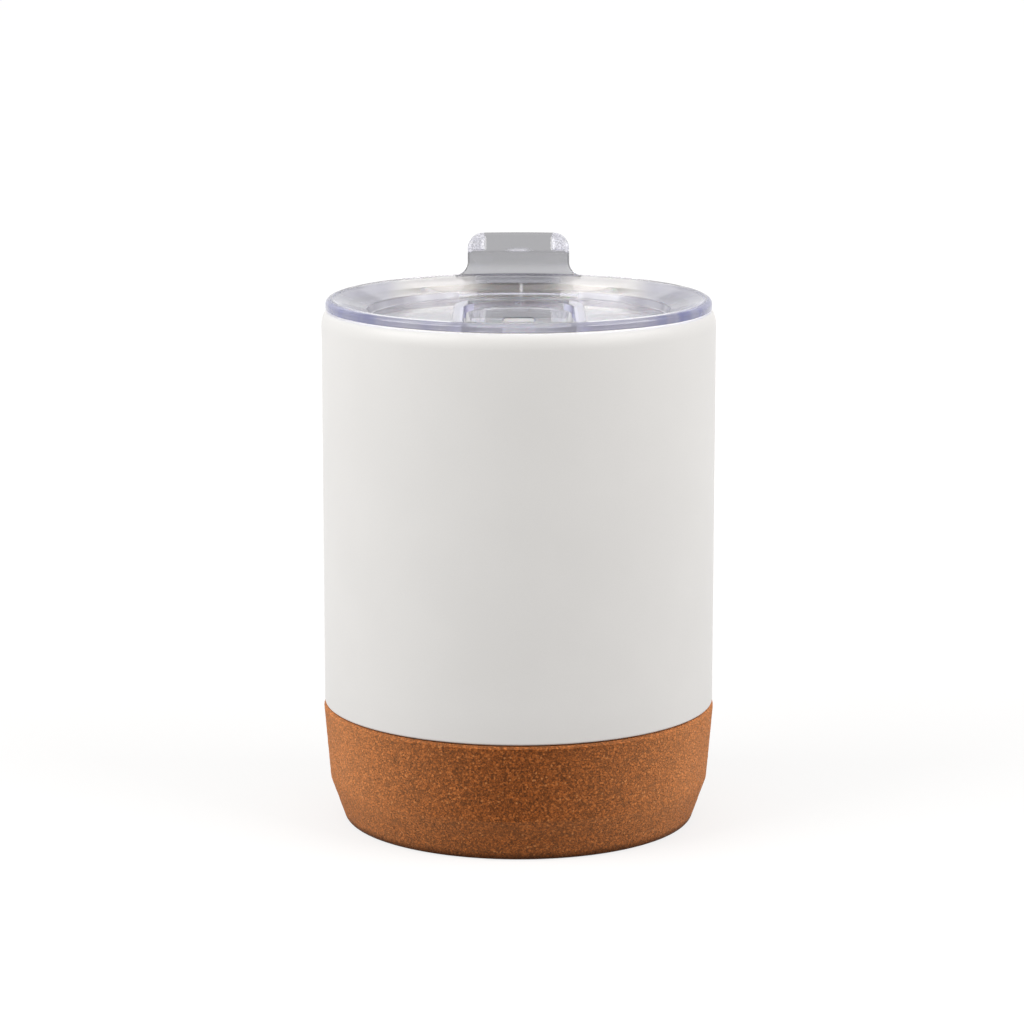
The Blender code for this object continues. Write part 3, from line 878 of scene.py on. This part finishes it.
SHOULDER = (1.2 * MM, 3.1 * MM)  # across and up
SHELL_HEM = 0.45 * MM
SHELL_LIP = 0.15 * MM
LINER_LIP = 0.2 * MM
LINER_DRAFT = 1.9 * MM
LINER_CORNER = 10.0 * MM
PUNCH = (9.0 * MM, 0.4 * MM, 0.15 * MM)  # radius, slope and depth of the mark in the liner's floor
CORK_STEP = 3.0 * MM
CORK_FLOOR = 2.6 * MM
CORK_KNEE = (1.0 * MM, 8.6 * MM)  # where the side turns in: inset and height
CORK_FOOT = (2.95 * MM, 0.4 * MM)
CORK_PROUD = 0.25 * MM
CORK_EDGE = 0.5 * MM
CORK_FACETS = 480
CORK_ROW = 0.6 * MM  # spacing of the rows of facets that carry the grain
CORK_GRAIN = 0.05 * MM
CORK_GRAIN_SIZES = (0.8 * MM, 0.35 * MM)
BASE_CORNER = 8.5 * MM


class MUG_OT_outer_shell(bpy.types.Operator):
    """Builds the white powder-coated shell"""

    bl_idname = "mug.outer_shell"
    bl_label = "Outer shell"

    def execute(self, context):
        cup = context.scene.mug_sizes
        wall, mouth, waist = cup.wall, cup.mouth_height, cup.body_radius
        foot = cup.cork_height + FIT
        step = waist - CORK_STEP
        top = mouth - SHOULDER[1]
        lip = cup.mouth_radius + wall + FIT
        turn = (waist - SHOULDER[0], top)
        outline = [(step - wall, cup.step_foot), (step, cup.step_foot), (step, foot)]
        outline += arc((waist - SHELL_HEM, foot + SHELL_HEM), (SHELL_HEM,) * 2, -90, 0, 8)
        outline += [(waist, foot + (top - foot) * i / 12) for i in range(1, 12)]
        outline += arc(turn, SHOULDER, 0, 90, 16)
        outline += arc((lip + SHELL_LIP, mouth - SHELL_LIP), (SHELL_LIP,) * 2, 90, 180, 4)
        outline += [(lip, mouth - wall)]
        outline += arc(turn, (SHOULDER[0] - wall, SHOULDER[1] - wall), 90, 0, 10)
        outline += [(waist - wall, foot + wall), (step - wall, foot + wall)]
        shell = turned("mug_shell", outline, powder_coat(context.scene.mug_colours.coat[:]))
        hand_in(shell, "cup", "outer_shell")
        return {"FINISHED"}


def liner_radius(cup, height):
    """Inner radius of the drawn liner at a height above the table."""
    rise = cup.mouth_height - cup.liner_foot + FIT
    return cup.mouth_radius - LINER_DRAFT * (cup.mouth_height - height) / rise


def liner_tube(cup):
    """Outline of the liner's tube, with its rounded lip."""
    foot, mouth, steps = cup.liner_foot, cup.mouth_height, 24
    heights = [foot + (mouth - foot) * i / steps for i in range(steps + 1)]
    inner = [(liner_radius(cup, height), height) for height in heights]
    inner[-1] = (inner[-1][0], mouth - LINER_LIP)
    lip = [(liner_radius(cup, mouth) + LINER_LIP, mouth)]
    outer = [(liner_radius(cup, height) + cup.wall, height) for height in (mouth, foot)]
    return inner + lip + outer


def liner_floor(wall):
    """Outline of the liner's round-cornered floor, with the mark of the punch."""
    low, radius, top = reach("liner_base", 2, 0), reach("liner_base"), reach("liner_base", 2)
    corner = LINER_CORNER + wall
    centre = (radius - corner, low + corner)
    outline = [(0, low), *arc(centre, (corner,) * 2, -90, 0, 20)]
    outline += [(radius, top), (radius - wall, top)]
    outline += arc(centre, (LINER_CORNER,) * 2, 0, -90, 20)
    raised = low + wall + PUNCH[2]
    return outline + [(PUNCH[0], low + wall), (PUNCH[0] - PUNCH[1], raised), (0, raised)]


class MUG_OT_liner(bpy.types.Operator):
    """Builds the bare steel liner: its tube and its round-cornered floor"""

    bl_idname = "mug.liner"
    bl_label = "Steel liner"

    def execute(self, context):
        cup, colour = context.scene.mug_sizes, context.scene.mug_colours.steel[:]
        tube = turned("liner_tube", liner_tube(cup), spun_steel("spun_steel", colour, True))
        hand_in(tube, "cup", "inner_liner")
        floor = turned("liner_floor", liner_floor(cup.wall), spun_steel("spun_floor_steel", colour))
        hand_in(floor, "cup", "liner_base")
        return {"FINISHED"}


def cork_outline(cup):
    """Outline of the cork cup: its rounded side in short rows, and the hollow for the base."""
    height, step = cup.cork_height, cup.body_radius - CORK_STEP
    knee = (cup.body_radius - CORK_KNEE[0], CORK_KNEE[1])
    foot = (knee[0] - CORK_FOOT[0], CORK_FOOT[1])
    top = cup.body_radius + CORK_PROUD
    corners = [(foot[0] - foot[1], 0, 0.3 * MM), (*foot, 1.3 * MM), (*knee, 2.2 * MM)]
    corners += [(top, height - CORK_EDGE, 0.3 * MM), (top - CORK_EDGE, height, 0.2 * MM)]
    side = spaced(filleted([*corners, (0, height)], 5)[:-1], CORK_ROW)
    plate, recess = reach("outer_base", 2, 0), reach("adhesive_disc") + FIT
    outline = [(0, 0), (side[0][0] * 0.5, 0), *side, (step + FIT, height)]
    centre = (step - BASE_CORNER, plate + BASE_CORNER)
    outline += arc(centre, (BASE_CORNER + FIT,) * 2, 0, -90, 10)
    return outline + [(recess, plate - FIT), (recess, CORK_FLOOR), (0, CORK_FLOOR)]


class MUG_OT_cork_base(bpy.types.Operator):
    """Builds the moulded cork cup at the foot"""

    bl_idname = "mug.cork_base"
    bl_label = "Cork base"

    def execute(self, context):
        cup = context.scene.mug_sizes
        builder = turned_builder(cork_outline(cup), CORK_FACETS)
        hollow_edge = cup.body_radius - CORK_STEP + 2 * FIT - 0.1 * MM
        floor_level = 0.02 * MM
        coarse, fine = CORK_GRAIN_SIZES
        for vert in builder.verts:
            radius = vert.co.xy.length
            if radius > hollow_edge and vert.co.z > floor_level:
                grain = noise.noise(vert.co / coarse) + 0.5 * noise.noise(vert.co / fine)
                push = CORK_GRAIN * (grain - 1.0)
                vert.co.x += vert.co.x / radius * push
                vert.co.y += vert.co.y / radius * push
        cork = add_piece("cork_cup", builder, cork_finish(context.scene.mug_colours.cork[:]), 60)
        hand_in(cork, "cup", "cork_base")
        return {"FINISHED"}


# Lid, measured up from the mouth plane --------

RIM_WIDTH = 4.2 * MM
RIM_FOOT = 1.0 * MM
RIM_INNER = 36.3 * MM
RIM_ROUND = (1.3 * MM, 0.9 * MM)
LEDGE_TOP = 1.85 * MM
LEDGE_RADIUS = 30.8 * MM
LEDGE_FOOT = 0.15 * MM
STEP_RUN = 0.6 * MM
LID_FLOOR = 1.6 * MM
SKIRT_RADIUS = 34.8 * MM
SKIRT_WALL = 1.8 * MM
SKIRT_DEPTH = 11.0 * MM
GROOVE = (4.6 * MM, 4.4 * MM, 0.9 * MM)  # top, height and depth
GASKET_WALL = 0.8 * MM
FIN_TIP = 0.4 * MM
TAB_CREASE = 7.8 * MM
TAB_THICKNESS = 1.5 * MM
TAB_LEAN = 1.3 * MM
TAB_CORNER = 3.2 * MM
TAB_FILLET = 2.6 * MM
TAB_EDGE = 0.45 * MM
TAB_RIDGE = 0.14 * MM  # stands proud along the crease
CHEEK_START = 7.3 * MM  # thicker ends of the tab above its crease, measured from the middle
CHEEK_PROUD = 0.45 * MM
CHANNEL_HALF = 10.85 * MM
CHANNEL_END = 1.55 * MM
CHANNEL_WALL = 2.3 * MM
CHANNEL_BACK_WALL = 5.2 * MM
CHANNEL_FRONT = 33.2 * MM
CHANNEL_LIP = 0.25 * MM
RAIL_HEIGHT = 1.6 * MM
SLIDE_TRAVEL = 8.8 * MM
SLIDE_TOP = 1.5 * MM
SLIDE_PLATE = 1.5 * MM
SLIDE_WALL = 1.0 * MM
TONGUE = (0.8 * MM, 0.8 * MM)  # reach and thickness
TONGUE_LENGTH = 11.0 * MM
TONGUE_SETBACK = 3.0 * MM
BUTTON = (6.0 * MM, 6.6 * MM)  # width and length
BUTTON_SETBACK = 1.9 * MM
BUTTON_RECESS = 0.15 * MM
BUTTON_GAP = 0.12 * MM
BUTTON_CORNER = 0.6 * MM
WINDOW_EDGE = 0.1 * MM
SEAL_PAD_LENGTH = 9.4 * MM
HOLE = (12.0 * MM, 5.2 * MM, 2.2 * MM)  # width, length and corner
HOLE_SETBACK = 2.7 * MM
VENT = (0.9 * MM, 22.0 * MM)  # radius, and distance behind the middle
RING_COLOUR = (0.84, 0.84, 0.87)
PAD_COLOUR = (0.88, 0.88, 0.90)

CHANNEL_CENTRE = CHANNEL_END - CHANNEL_HALF
SLIDE_HALF = CHANNEL_HALF - FIT
SLIDE_CENTRE = CHANNEL_CENTRE - SLIDE_TRAVEL
SLIDE_FRONT = CHANNEL_FRONT - FIT
TONGUE_FRONT = TONGUE_SETBACK - SLIDE_FRONT


def lid_outline(lid):
    """Half section of the lid: floor, step, sloping ledge, rim, flange and grooved skirt."""
    edge, crest = lid.radius, lid.rim_height
    inner, groove = SKIRT_RADIUS - SKIRT_WALL, SKIRT_RADIUS - GROOVE[2]
    floor, low = -lid.floor_depth, -GROOVE[0] - GROOVE[1]
    step = LEDGE_RADIUS - STEP_RUN
    under = (step + LID_FLOOR, floor - LID_FLOOR)
    points = [(0, floor), (step, floor, 0.5 * MM), (LEDGE_RADIUS, LEDGE_FOOT, 0.35 * MM)]
    points += [(RIM_INNER, LEDGE_TOP, 0.5 * MM)]
    points += arc((edge - RIM_ROUND[0], crest - RIM_ROUND[1]), RIM_ROUND, 110, 0, 20)
    points += [(edge, FIT, 0.3 * MM), (SKIRT_RADIUS, FIT, 0.35 * MM)]
    points += [(SKIRT_RADIUS, -GROOVE[0], 0.15 * MM), (groove, -GROOVE[0], 0.15 * MM)]
    points += [(groove, low, 0.15 * MM), (SKIRT_RADIUS, low, 0.15 * MM)]
    points += [(SKIRT_RADIUS, -SKIRT_DEPTH, 0.8 * MM), (inner, -SKIRT_DEPTH, 0.3 * MM)]
    points += [(inner, LEDGE_FOOT - 0.9 * MM, 0.5 * MM)]
    points += [(under[0], LEDGE_FOOT - 1.4 * MM, 0.3 * MM), (*under, 0.5 * MM), (0, under[1])]
    return filleted(points, 5)


def tab_section(lid, height):
    """(half-width, half-thickness, middle radius) of the thumb tab at a height."""
    half, flare = lid.tab_width / 2, lid.rim_height + lid.rim_rise + TAB_FILLET
    if height < flare:
        drop = min(flare - height, TAB_FILLET)
        half += TAB_FILLET - sqrt(TAB_FILLET**2 - drop**2)
    rise = min(max(0, height - lid.tab_height + TAB_CORNER), TAB_CORNER)
    half += sqrt(TAB_CORNER**2 - rise**2) - TAB_CORNER
    top = min(max(0, height - lid.tab_height + TAB_EDGE), TAB_EDGE)
    thick = TAB_THICKNESS / 2 - TAB_EDGE + sqrt(max(0.0, TAB_EDGE**2 - top**2))
    lean = TAB_LEAN * max(0, height - TAB_CREASE) / (lid.tab_height - TAB_CREASE)
    return half, thick, lid.radius - RIM_WIDTH / 2 + lean


def eased(value, low, high):
    """0 below low, 1 above high and smooth between them."""
    share = min(1.0, max(0.0, (value - low) / (high - low)))
    return share * share * (3 - 2 * share)


def cheek_depth(side, height, lid):
    """How far the tab's inner face stands proud: a ridge on the crease and a cheek at each end."""
    ridge = TAB_RIDGE * (1 - eased(abs(height - TAB_CREASE), 0, 0.45 * MM))
    ends = eased(side, CHEEK_START - 0.35 * MM, CHEEK_START + 0.35 * MM)
    ends *= 1 - eased(side, lid.tab_width / 2 - 1.4 * MM, lid.tab_width / 2 - 0.3 * MM)
    ends *= eased(height, TAB_CREASE, TAB_CREASE + 0.5 * MM)
    ends *= 1 - eased(height, lid.tab_height - 1.3 * MM, lid.tab_height - 0.4 * MM)
    return max(ridge, CHEEK_PROUD * ends)


def tab_heights(lid):
    """Heights of the tab's sections, close where its outline or its face turns."""
    flare, corner = lid.rim_height + lid.rim_rise, lid.tab_height - TAB_CORNER
    heights = [RIM_FOOT + 0.2 * MM] + [TAB_CREASE + 0.15 * MM * k for k in range(-3, 5)]
    plain = [flare + 1.3 * MM * k for k in range(1, 4)]
    heights += [height for height in plain if height < TAB_CREASE - 0.6 * MM]
    heights += [z for _, z in arc((0, flare + TAB_FILLET), (1, TAB_FILLET), -90, 0, 12)]
    heights += [z for _, z in arc((0, corner), (1, TAB_CORNER), 0, 84, 18)]
    heights += [z for _, z in arc((0, lid.tab_height - TAB_EDGE), (1, TAB_EDGE), 0, 90, 5)]
    return sorted(set(round(height, 7) for height in heights))


def tab_ring(half, thick, across=72, edge_steps=6):
    """(x, depth) points round a section of the tab, whose two ends are rounded."""
    round_x = min(TAB_EDGE, half * 0.9)
    flat = half - round_x
    ring = []
    for side in (1, -1):
        ring += [(side * flat * (1 - 2 * i / across), side * thick) for i in range(across + 1)]
        for i in range(1, edge_steps):
            angle = pi * i / edge_steps
            ring.append((-side * (flat + round_x * sin(angle)), side * thick * cos(angle)))
    return ring


def tab_builder(lid):
    """Thumb tab, curved with the rim, leaning out above its crease, with rounded edges."""
    loops = []
    for height in tab_heights(lid):
        half, thick, middle = tab_section(lid, height)
        loop = []
        for x, depth in tab_ring(half, thick):
            radius = middle + depth
            if depth < 0:
                radius -= cheek_depth(abs(x), height, lid)
            loop.append((x, sqrt(radius**2 - x**2), height))
        loops.append(loop)
    return loft_builder(loops)


def raised_rim(builder, lid):
    """Lifts the rim's crest towards the tab."""
    for vert in builder.verts:
        share = (vert.co.z - RIM_FOOT) / (lid.rim_height - RIM_FOOT)
        radius = vert.co.xy.length
        if share > 0 and radius > LEDGE_RADIUS:
            vert.co.z += lid.rim_rise * share * (1 + vert.co.y / radius) / 2
    return builder


def island(lid):
    """The raised block round the slide's channel."""
    half, back = CHANNEL_HALF + CHANNEL_WALL, CHANNEL_END + CHANNEL_BACK_WALL
    rim_inside = lid.radius - RIM_WIDTH / 2 - RIM_WIDTH / 3
    return plan_loft(
        lambda inset: tongue_plan(half - inset, back - half, rim_inside),
        edge_levels(-lid.floor_depth - LID_FLOOR / 2, RAIL_HEIGHT, 0, 0.5 * MM, 5),
    )


def channel(lid):
    """The slide's channel, round at its floor and flared at its lip."""
    levels = edge_levels(-lid.floor_depth, RAIL_HEIGHT, 0.3 * MM, 0, 4)[:-1]
    levels += arc((-CHANNEL_LIP, RAIL_HEIGHT - CHANNEL_LIP), (CHANNEL_LIP,) * 2, 0, 90, 4)[1:]
    levels.append((-CHANNEL_LIP, lid.rim_height + lid.rim_rise))
    return tongue_loft(CHANNEL_HALF, CHANNEL_CENTRE, CHANNEL_FRONT, levels)


def tongue_grooves(lid):
    """The grooves that the slide's tongues run in."""
    side = SLIDE_HALF + TONGUE[0] + FIT
    front, back = TONGUE_FRONT - FIT, TONGUE_FRONT + TONGUE_LENGTH + SLIDE_TRAVEL + FIT
    middle = (FIT - lid.floor_depth + SLIDE_TOP) / 2
    tall = TONGUE[1] / 2 + FIT
    plan = [(side, back), (-side, back), (-side, front), (side, front)]
    return plan_loft(lambda inset: plan, [(0, middle - tall), (0, middle + tall)])


def drinking_hole(lid):
    """The hole in the channel's floor, with softened edges."""
    floor, front = -lid.floor_depth, HOLE_SETBACK - SLIDE_FRONT
    under, flare, edge = floor - LID_FLOOR, -0.4 * MM, -0.3 * MM
    levels = [(flare, under - LID_FLOOR), (flare, under), (0, under - flare)]
    levels += [(0, floor + edge), (edge, floor), (edge, floor + 0.2 * MM)]
    return plan_loft(
        lambda inset: rounded_plan(
            HOLE[0] - 2 * inset, front + inset, front + HOLE[1] - inset, HOLE[2] - inset
        ),
        levels,
    )


def vent_hole(lid):
    """The small round hole at the back of the dish."""
    floor, edge = -lid.floor_depth, -0.2 * MM
    return plan_loft(
        lambda inset: arc((0, VENT[1]), (VENT[0] - inset,) * 2, 0, 345, 23),
        [(0, floor - 2 * LID_FLOOR), (0, floor + edge), (edge, floor), (edge, 0.0)],
    )


def guides(*pairs):
    """Bare objects from pairs of a name and a bmesh, to be joined to a piece or cut from it."""
    return [add_piece(name, builder, None) for name, builder in pairs]


def raise_to_mouth(piece, cup):
    """Moves a piece that is built from the mouth plane up to it."""
    for vert in piece.data.vertices:
        vert.co.z += cup.mouth_height


class MUG_OT_lid(bpy.types.Operator):
    """Builds the clear press-in lid with its tab, island, channel, hole and vent"""

    bl_idname = "mug.lid"
    bl_label = "Clear lid"

    def execute(self, context):
        lid, colours = context.scene.mug_lid, context.scene.mug_colours
        cup = context.scene.mug_sizes
        builder = raised_rim(turned_builder(lid_outline(lid)), lid)
        clear = lid_plastic(colours.clear[:], colours.edge[:], cup.mouth_height)
        body = add_piece("clear_lid", builder, clear)
        unions = guides(("guide_tab", tab_builder(lid)), ("guide_island", island(lid)))
        cuts = guides(
            ("cut_channel", channel(lid)),
            ("cut_grooves", tongue_grooves(lid)),
            ("cut_hole", drinking_hole(lid)),
            ("cut_vent", vent_hole(lid)),
        )
        combined(body, unions, cuts)
        raise_to_mouth(body, cup)
        hand_in(body, "lid", "lid_body")
        return {"FINISHED"}


class MUG_OT_gasket(bpy.types.Operator):
    """Builds the finned silicone ring round the lid's skirt"""

    bl_idname = "mug.gasket"
    bl_label = "Lid gasket"

    def execute(self, context):
        cup = context.scene.mug_sizes
        inner = SKIRT_RADIUS - GROOVE[2] + FIT
        wall = inner + GASKET_WALL
        top, low = -GROOVE[0] - FIT, FIT - GROOVE[0] - GROOVE[1]
        pitch = (top - low) / 2
        points = [(inner, low, 0.1 * MM), (wall, low, 0.1 * MM)]
        for foot in (low, low + pitch):
            tip = foot + pitch / 2
            out = liner_radius(cup, cup.mouth_height + tip) - FIT
            points += [(wall, foot + 0.2 * MM, 0.2 * MM), (out, tip, 0.15 * MM)]
            points += [(out, tip + FIN_TIP, 0.15 * MM), (wall, tip + FIN_TIP, 0.2 * MM)]
        points += [(wall, top, 0.1 * MM), (inner, top, 0.1 * MM)]
        silicone = silicone_finish("ring_silicone", RING_COLOUR)
        ring = turned("seal_ring", filleted(points, 3), silicone)
        raise_to_mouth(ring, cup)
        hand_in(ring, "lid", "lid_gasket")
        return {"FINISHED"}


def button_plan(clearance, inset):
    """Plan of the seal's button, or of the window that it stands in."""
    front = BUTTON_SETBACK - SLIDE_FRONT
    return rounded_plan(
        BUTTON[0] + 2 * (clearance - inset),
        front - clearance + inset,
        front + BUTTON[1] + clearance - inset,
        max(BUTTON_CORNER + clearance - inset, 0.05 * MM),
        5,
    )


def slide_block(low):
    """The slide's outer form."""
    levels = edge_levels(low, SLIDE_TOP, 0.15 * MM, 0.4 * MM, 5)
    return tongue_loft(SLIDE_HALF, SLIDE_CENTRE, SLIDE_FRONT, levels)


def slide_tongues(middle):
    """The two tongues that run in the channel's grooves, as one bar."""
    side, back = SLIDE_HALF + TONGUE[0], TONGUE_FRONT + TONGUE_LENGTH
    return plan_loft(
        lambda inset: rounded_plan(
            2 * (side - inset), TONGUE_FRONT + inset, back - inset, 0.4 * MM, 4
        ),
        edge_levels(middle - TONGUE[1] / 2, middle + TONGUE[1] / 2, 0.1 * MM, 0.1 * MM, 3),
    )


def slide_hollow(low):
    """What is hollowed out of the slide from below."""
    levels = edge_levels(low - 2 * FIT, SLIDE_TOP - SLIDE_PLATE, 0, 0.25 * MM, 4)
    return tongue_loft(SLIDE_HALF - SLIDE_WALL, SLIDE_CENTRE, SLIDE_FRONT - SLIDE_WALL, levels)


def slide_window(middle):
    """The window in the slide for the seal's button, with a softened edge."""
    turn = SLIDE_TOP - WINDOW_EDGE
    levels = [(0, middle - 0.9 * MM), (0, turn), (-WINDOW_EDGE, SLIDE_TOP)]
    levels.append((-WINDOW_EDGE, SLIDE_TOP + FIT))
    return plan_loft(lambda inset: button_plan(BUTTON_GAP, inset), levels)


class MUG_OT_slide(bpy.types.Operator):
    """Builds the clear drinking slide"""

    bl_idname = "mug.slide"
    bl_label = "Drinking slide"

    def execute(self, context):
        low = FIT - context.scene.mug_lid.floor_depth
        middle = (low + SLIDE_TOP) / 2
        clear = slide_plastic(context.scene.mug_colours.clear[:])
        body = add_piece("clear_slide", slide_block(low), clear)
        tongues = guides(("guide_tongues", slide_tongues(middle)))
        cuts = guides(("cut_hollow", slide_hollow(low)), ("cut_window", slide_window(middle)))
        combined(body, tongues, cuts)
        raise_to_mouth(body, context.scene.mug_sizes)
        hand_in(body, "slider", "slide")
        return {"FINISHED"}


def pad_plan(inset):
    """Plan of the seal's pad: straight at the back, concentric with the lid at the front."""
    gap = SLIDE_WALL + FIT
    half, radius = SLIDE_HALF - gap, SLIDE_FRONT - gap
    back = SEAL_PAD_LENGTH - radius - inset
    return [(half - inset, back), (inset - half, back), *front_arc(half - inset, radius - inset)]


class MUG_OT_slide_seal(bpy.types.Operator):
    """Builds the silicone pad under the slide, with its button"""

    bl_idname = "mug.slide_seal"
    bl_label = "Slide seal"

    def execute(self, context):
        low, high = FIT - context.scene.mug_lid.floor_depth, SLIDE_TOP - SLIDE_PLATE - FIT
        builder = plan_loft(pad_plan, edge_levels(low, high, 0.12 * MM, 0.12 * MM, 3))
        pad = add_piece("seal_pad", builder, silicone_finish("pad_silicone", PAD_COLOUR))
        top = SLIDE_TOP - BUTTON_RECESS
        levels = edge_levels((low + high) / 2, top, 0, 0.35 * MM, 4)
        button = plan_loft(lambda inset: button_plan(0, inset), levels)
        combined(pad, guides(("guide_button", button)), [])
        raise_to_mouth(pad, context.scene.mug_sizes)
        hand_in(pad, "slider", "slide_seal")
        return {"FINISHED"}


# Inner parts of the frame that keep their own shape --------


class MUG_OT_inner_parts(bpy.types.Operator):
    """Gives the hidden steel base, seal, getter and adhesive their finishes"""

    bl_idname = "mug.inner_parts"
    bl_label = "Inner parts"

    def execute(self, context):
        finishes = {
            "outer_base": pressed_steel("base_steel", (0.56, 0.55, 0.54)),
            "getter_cup": pressed_steel("getter_holder_steel", (0.5, 0.5, 0.5)),
            "getter_pellet": sintered("getter_powder", (0.16, 0.16, 0.17)),
            "vacuum_seal": glass_bead("solder_glass", (0.05, 0.07, 0.06)),
            "adhesive_disc": glue_finish("cured_glue", (0.62, 0.56, 0.42)),
        }
        for node, material in finishes.items():
            for material_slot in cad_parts[node].material_slots:
                material_slot.material = material
        return {"FINISHED"}


# Stage --------

LIT_POINT = (0, 0, 0.07)  # that the softboxes face
SOFTBOXES = {  # place, width and height, and colour
    "left": ((-0.69, -0.31, 0.50), (0.75, 0.45), (1.0, 0.995, 0.985)),
    "right": ((0.69, -0.31, 0.50), (0.75, 0.45), (1.0, 0.99, 0.98)),
    "back": ((0, 0.95, 0.78), (0.9, 0.5), (1.0, 0.995, 0.985)),
}
FLOOR_RADIUS = 9.0
FLOOR_DROP = 0.05 * MM
FLOOR_GREY = (0.30, 0.30, 0.30)
FLOOR_GLOW = (0.72, 0.89)  # beside the mug and far from it
GLOW_REACH = (0.05, 0.6)
WARM_WHITE = (1.0, 0.97, 0.93)
WHITE = (1.0, 1.0, 1.0)
LID_BOUNCES = 24  # let light cross every wall of the clear lid
SHADOW_BOUNCES = 32


def softbox(name, place, size, power, colour):
    """A rectangular lamp that faces the mug."""
    lamp = bpy.data.lights.new(name, "AREA")
    lamp.shape = "RECTANGLE"
    lamp.size, lamp.size_y = size
    lamp.energy = power
    lamp.color = colour
    made = bpy.data.objects.new(name, lamp)
    made.location = place
    made.rotation_mode = "QUATERNION"
    made.rotation_quaternion = (Vector(LIT_POINT) - Vector(place)).to_track_quat("-Z", "Y")
    bpy.context.scene.collection.objects.link(made)


def seen_directly(f):
    """1 for rays that show the background: from the camera, off gloss and through glass."""
    path = f.node("ShaderNodeLightPath", output="Is Camera Ray")
    outputs = path.socket.node.outputs
    glossy = Value(f, outputs["Is Glossy Ray"])
    through = Value(f, outputs["Is Transmission Ray"])
    return path.most(glossy).most(through)


def floor_finish():
    """Pale floor that shows white, and darkens only in the mug's own shadow."""
    f = Finish("studio_floor")
    pale = f.node("ShaderNodeBsdfDiffuse", None, {"Color": FLOOR_GREY})
    x, y, _ = f.axes(f.place())
    away = ((x * x + y * y) ** 0.5).ramp(*GLOW_REACH)
    strength = away * (FLOOR_GLOW[1] - FLOOR_GLOW[0]) + FLOOR_GLOW[0]
    glow = f.node("ShaderNodeEmission", None, {"Color": WHITE, "Strength": strength})
    none = f.node("ShaderNodeEmission", None, {"Strength": 0.0})
    lit = f.node("ShaderNodeMixShader", None, {0: seen_directly(f), 1: none, 2: glow})
    return f.done(f.node("ShaderNodeAddShader", None, {0: pale, 1: lit}))


def surround(ambient):
    """White to look at, and a weaker warm light on everything."""
    f = Finish("studio_world", "worlds")
    light = f.node("ShaderNodeBackground", None, {"Color": WARM_WHITE, "Strength": ambient})
    white = f.node("ShaderNodeBackground", None, {"Color": WHITE, "Strength": 1.0})
    return f.done(f.node("ShaderNodeMixShader", None, {0: seen_directly(f), 1: light, 2: white}))


class MUG_OT_stage(bpy.types.Operator):
    """Sets up the camera, the floor, the softboxes and the white surround"""

    bl_idname = "mug.stage"
    bl_label = "Studio"

    def execute(self, context):
        studio, scene = context.scene.mug_studio, context.scene
        data = bpy.data.cameras.new("studio_camera")
        data.sensor_width = 36.0
        data.lens = studio.lens
        camera = bpy.data.objects.new("studio_camera", data)
        camera.location = studio.camera_place
        camera.rotation_euler = (pi / 2 - studio.camera_pitch, 0, 0)
        scene.collection.objects.link(camera)
        scene.camera = camera
        builder = bmesh.new()
        bmesh.ops.create_circle(builder, cap_ends=True, segments=96, radius=FLOOR_RADIUS)
        floor = add_piece("studio_floor", builder, floor_finish())
        floor.location.z = -FLOOR_DROP
        for side, (place, size, colour) in SOFTBOXES.items():
            softbox(f"{side}_softbox", place, size, getattr(studio, f"{side}_power"), colour)
        scene.world = surround(studio.ambient)
        scene.cycles.max_bounces = scene.cycles.transmission_bounces = LID_BOUNCES
        scene.cycles.transparent_max_bounces = SHADOW_BOUNCES
        scene.view_settings.view_transform = "Standard"
        return {"FINISHED"}


# Add-on ------------------------------------------------------------------------------------


OPERATORS = (
    MUG_OT_stage,
    MUG_OT_outer_shell,
    MUG_OT_liner,
    MUG_OT_cork_base,
    MUG_OT_lid,
    MUG_OT_gasket,
    MUG_OT_slide,
    MUG_OT_slide_seal,
    MUG_OT_inner_parts,
)
GROUPS = {
    "mug_sizes": MugSizes,
    "mug_lid": LidSizes,
    "mug_colours": MugColours,
    "mug_studio": MugStudio,
}


class MUG_PT_panel(bpy.types.Panel):
    """Lists the mug's sizes, colours and building steps"""

    bl_idname = "MUG_PT_panel"
    bl_label = "Vacuum mug"
    bl_space_type = "VIEW_3D"
    bl_region_type = "UI"
    bl_category = "Mug"

    def draw(self, context):
        for group in GROUPS:
            box = self.layout.box()
            settings = getattr(context.scene, group)
            for name in settings.bl_rna.properties.keys():
                if name not in ("rna_type", "name"):
                    box.prop(settings, name)
        for operator in OPERATORS:
            self.layout.operator(operator.bl_idname)


def register():
    for group in GROUPS.values():
        bpy.utils.register_class(group)
    for operator in (*OPERATORS, MUG_PT_panel):
        bpy.utils.register_class(operator)
    for name, group in GROUPS.items():
        setattr(bpy.types.Scene, name, bpy.props.PointerProperty(type=group))


def unregister():
    for name in GROUPS:
        delattr(bpy.types.Scene, name)
    for operator in (MUG_PT_panel, *OPERATORS, *GROUPS.values()):
        bpy.utils.unregister_class(operator)


def main():
    """Builds everything in order."""
    register()
    for operator in OPERATORS:
        group, name = operator.bl_idname.split(".")
        getattr(getattr(bpy.ops, group), name)()


if __name__ == "__main__":
    main()
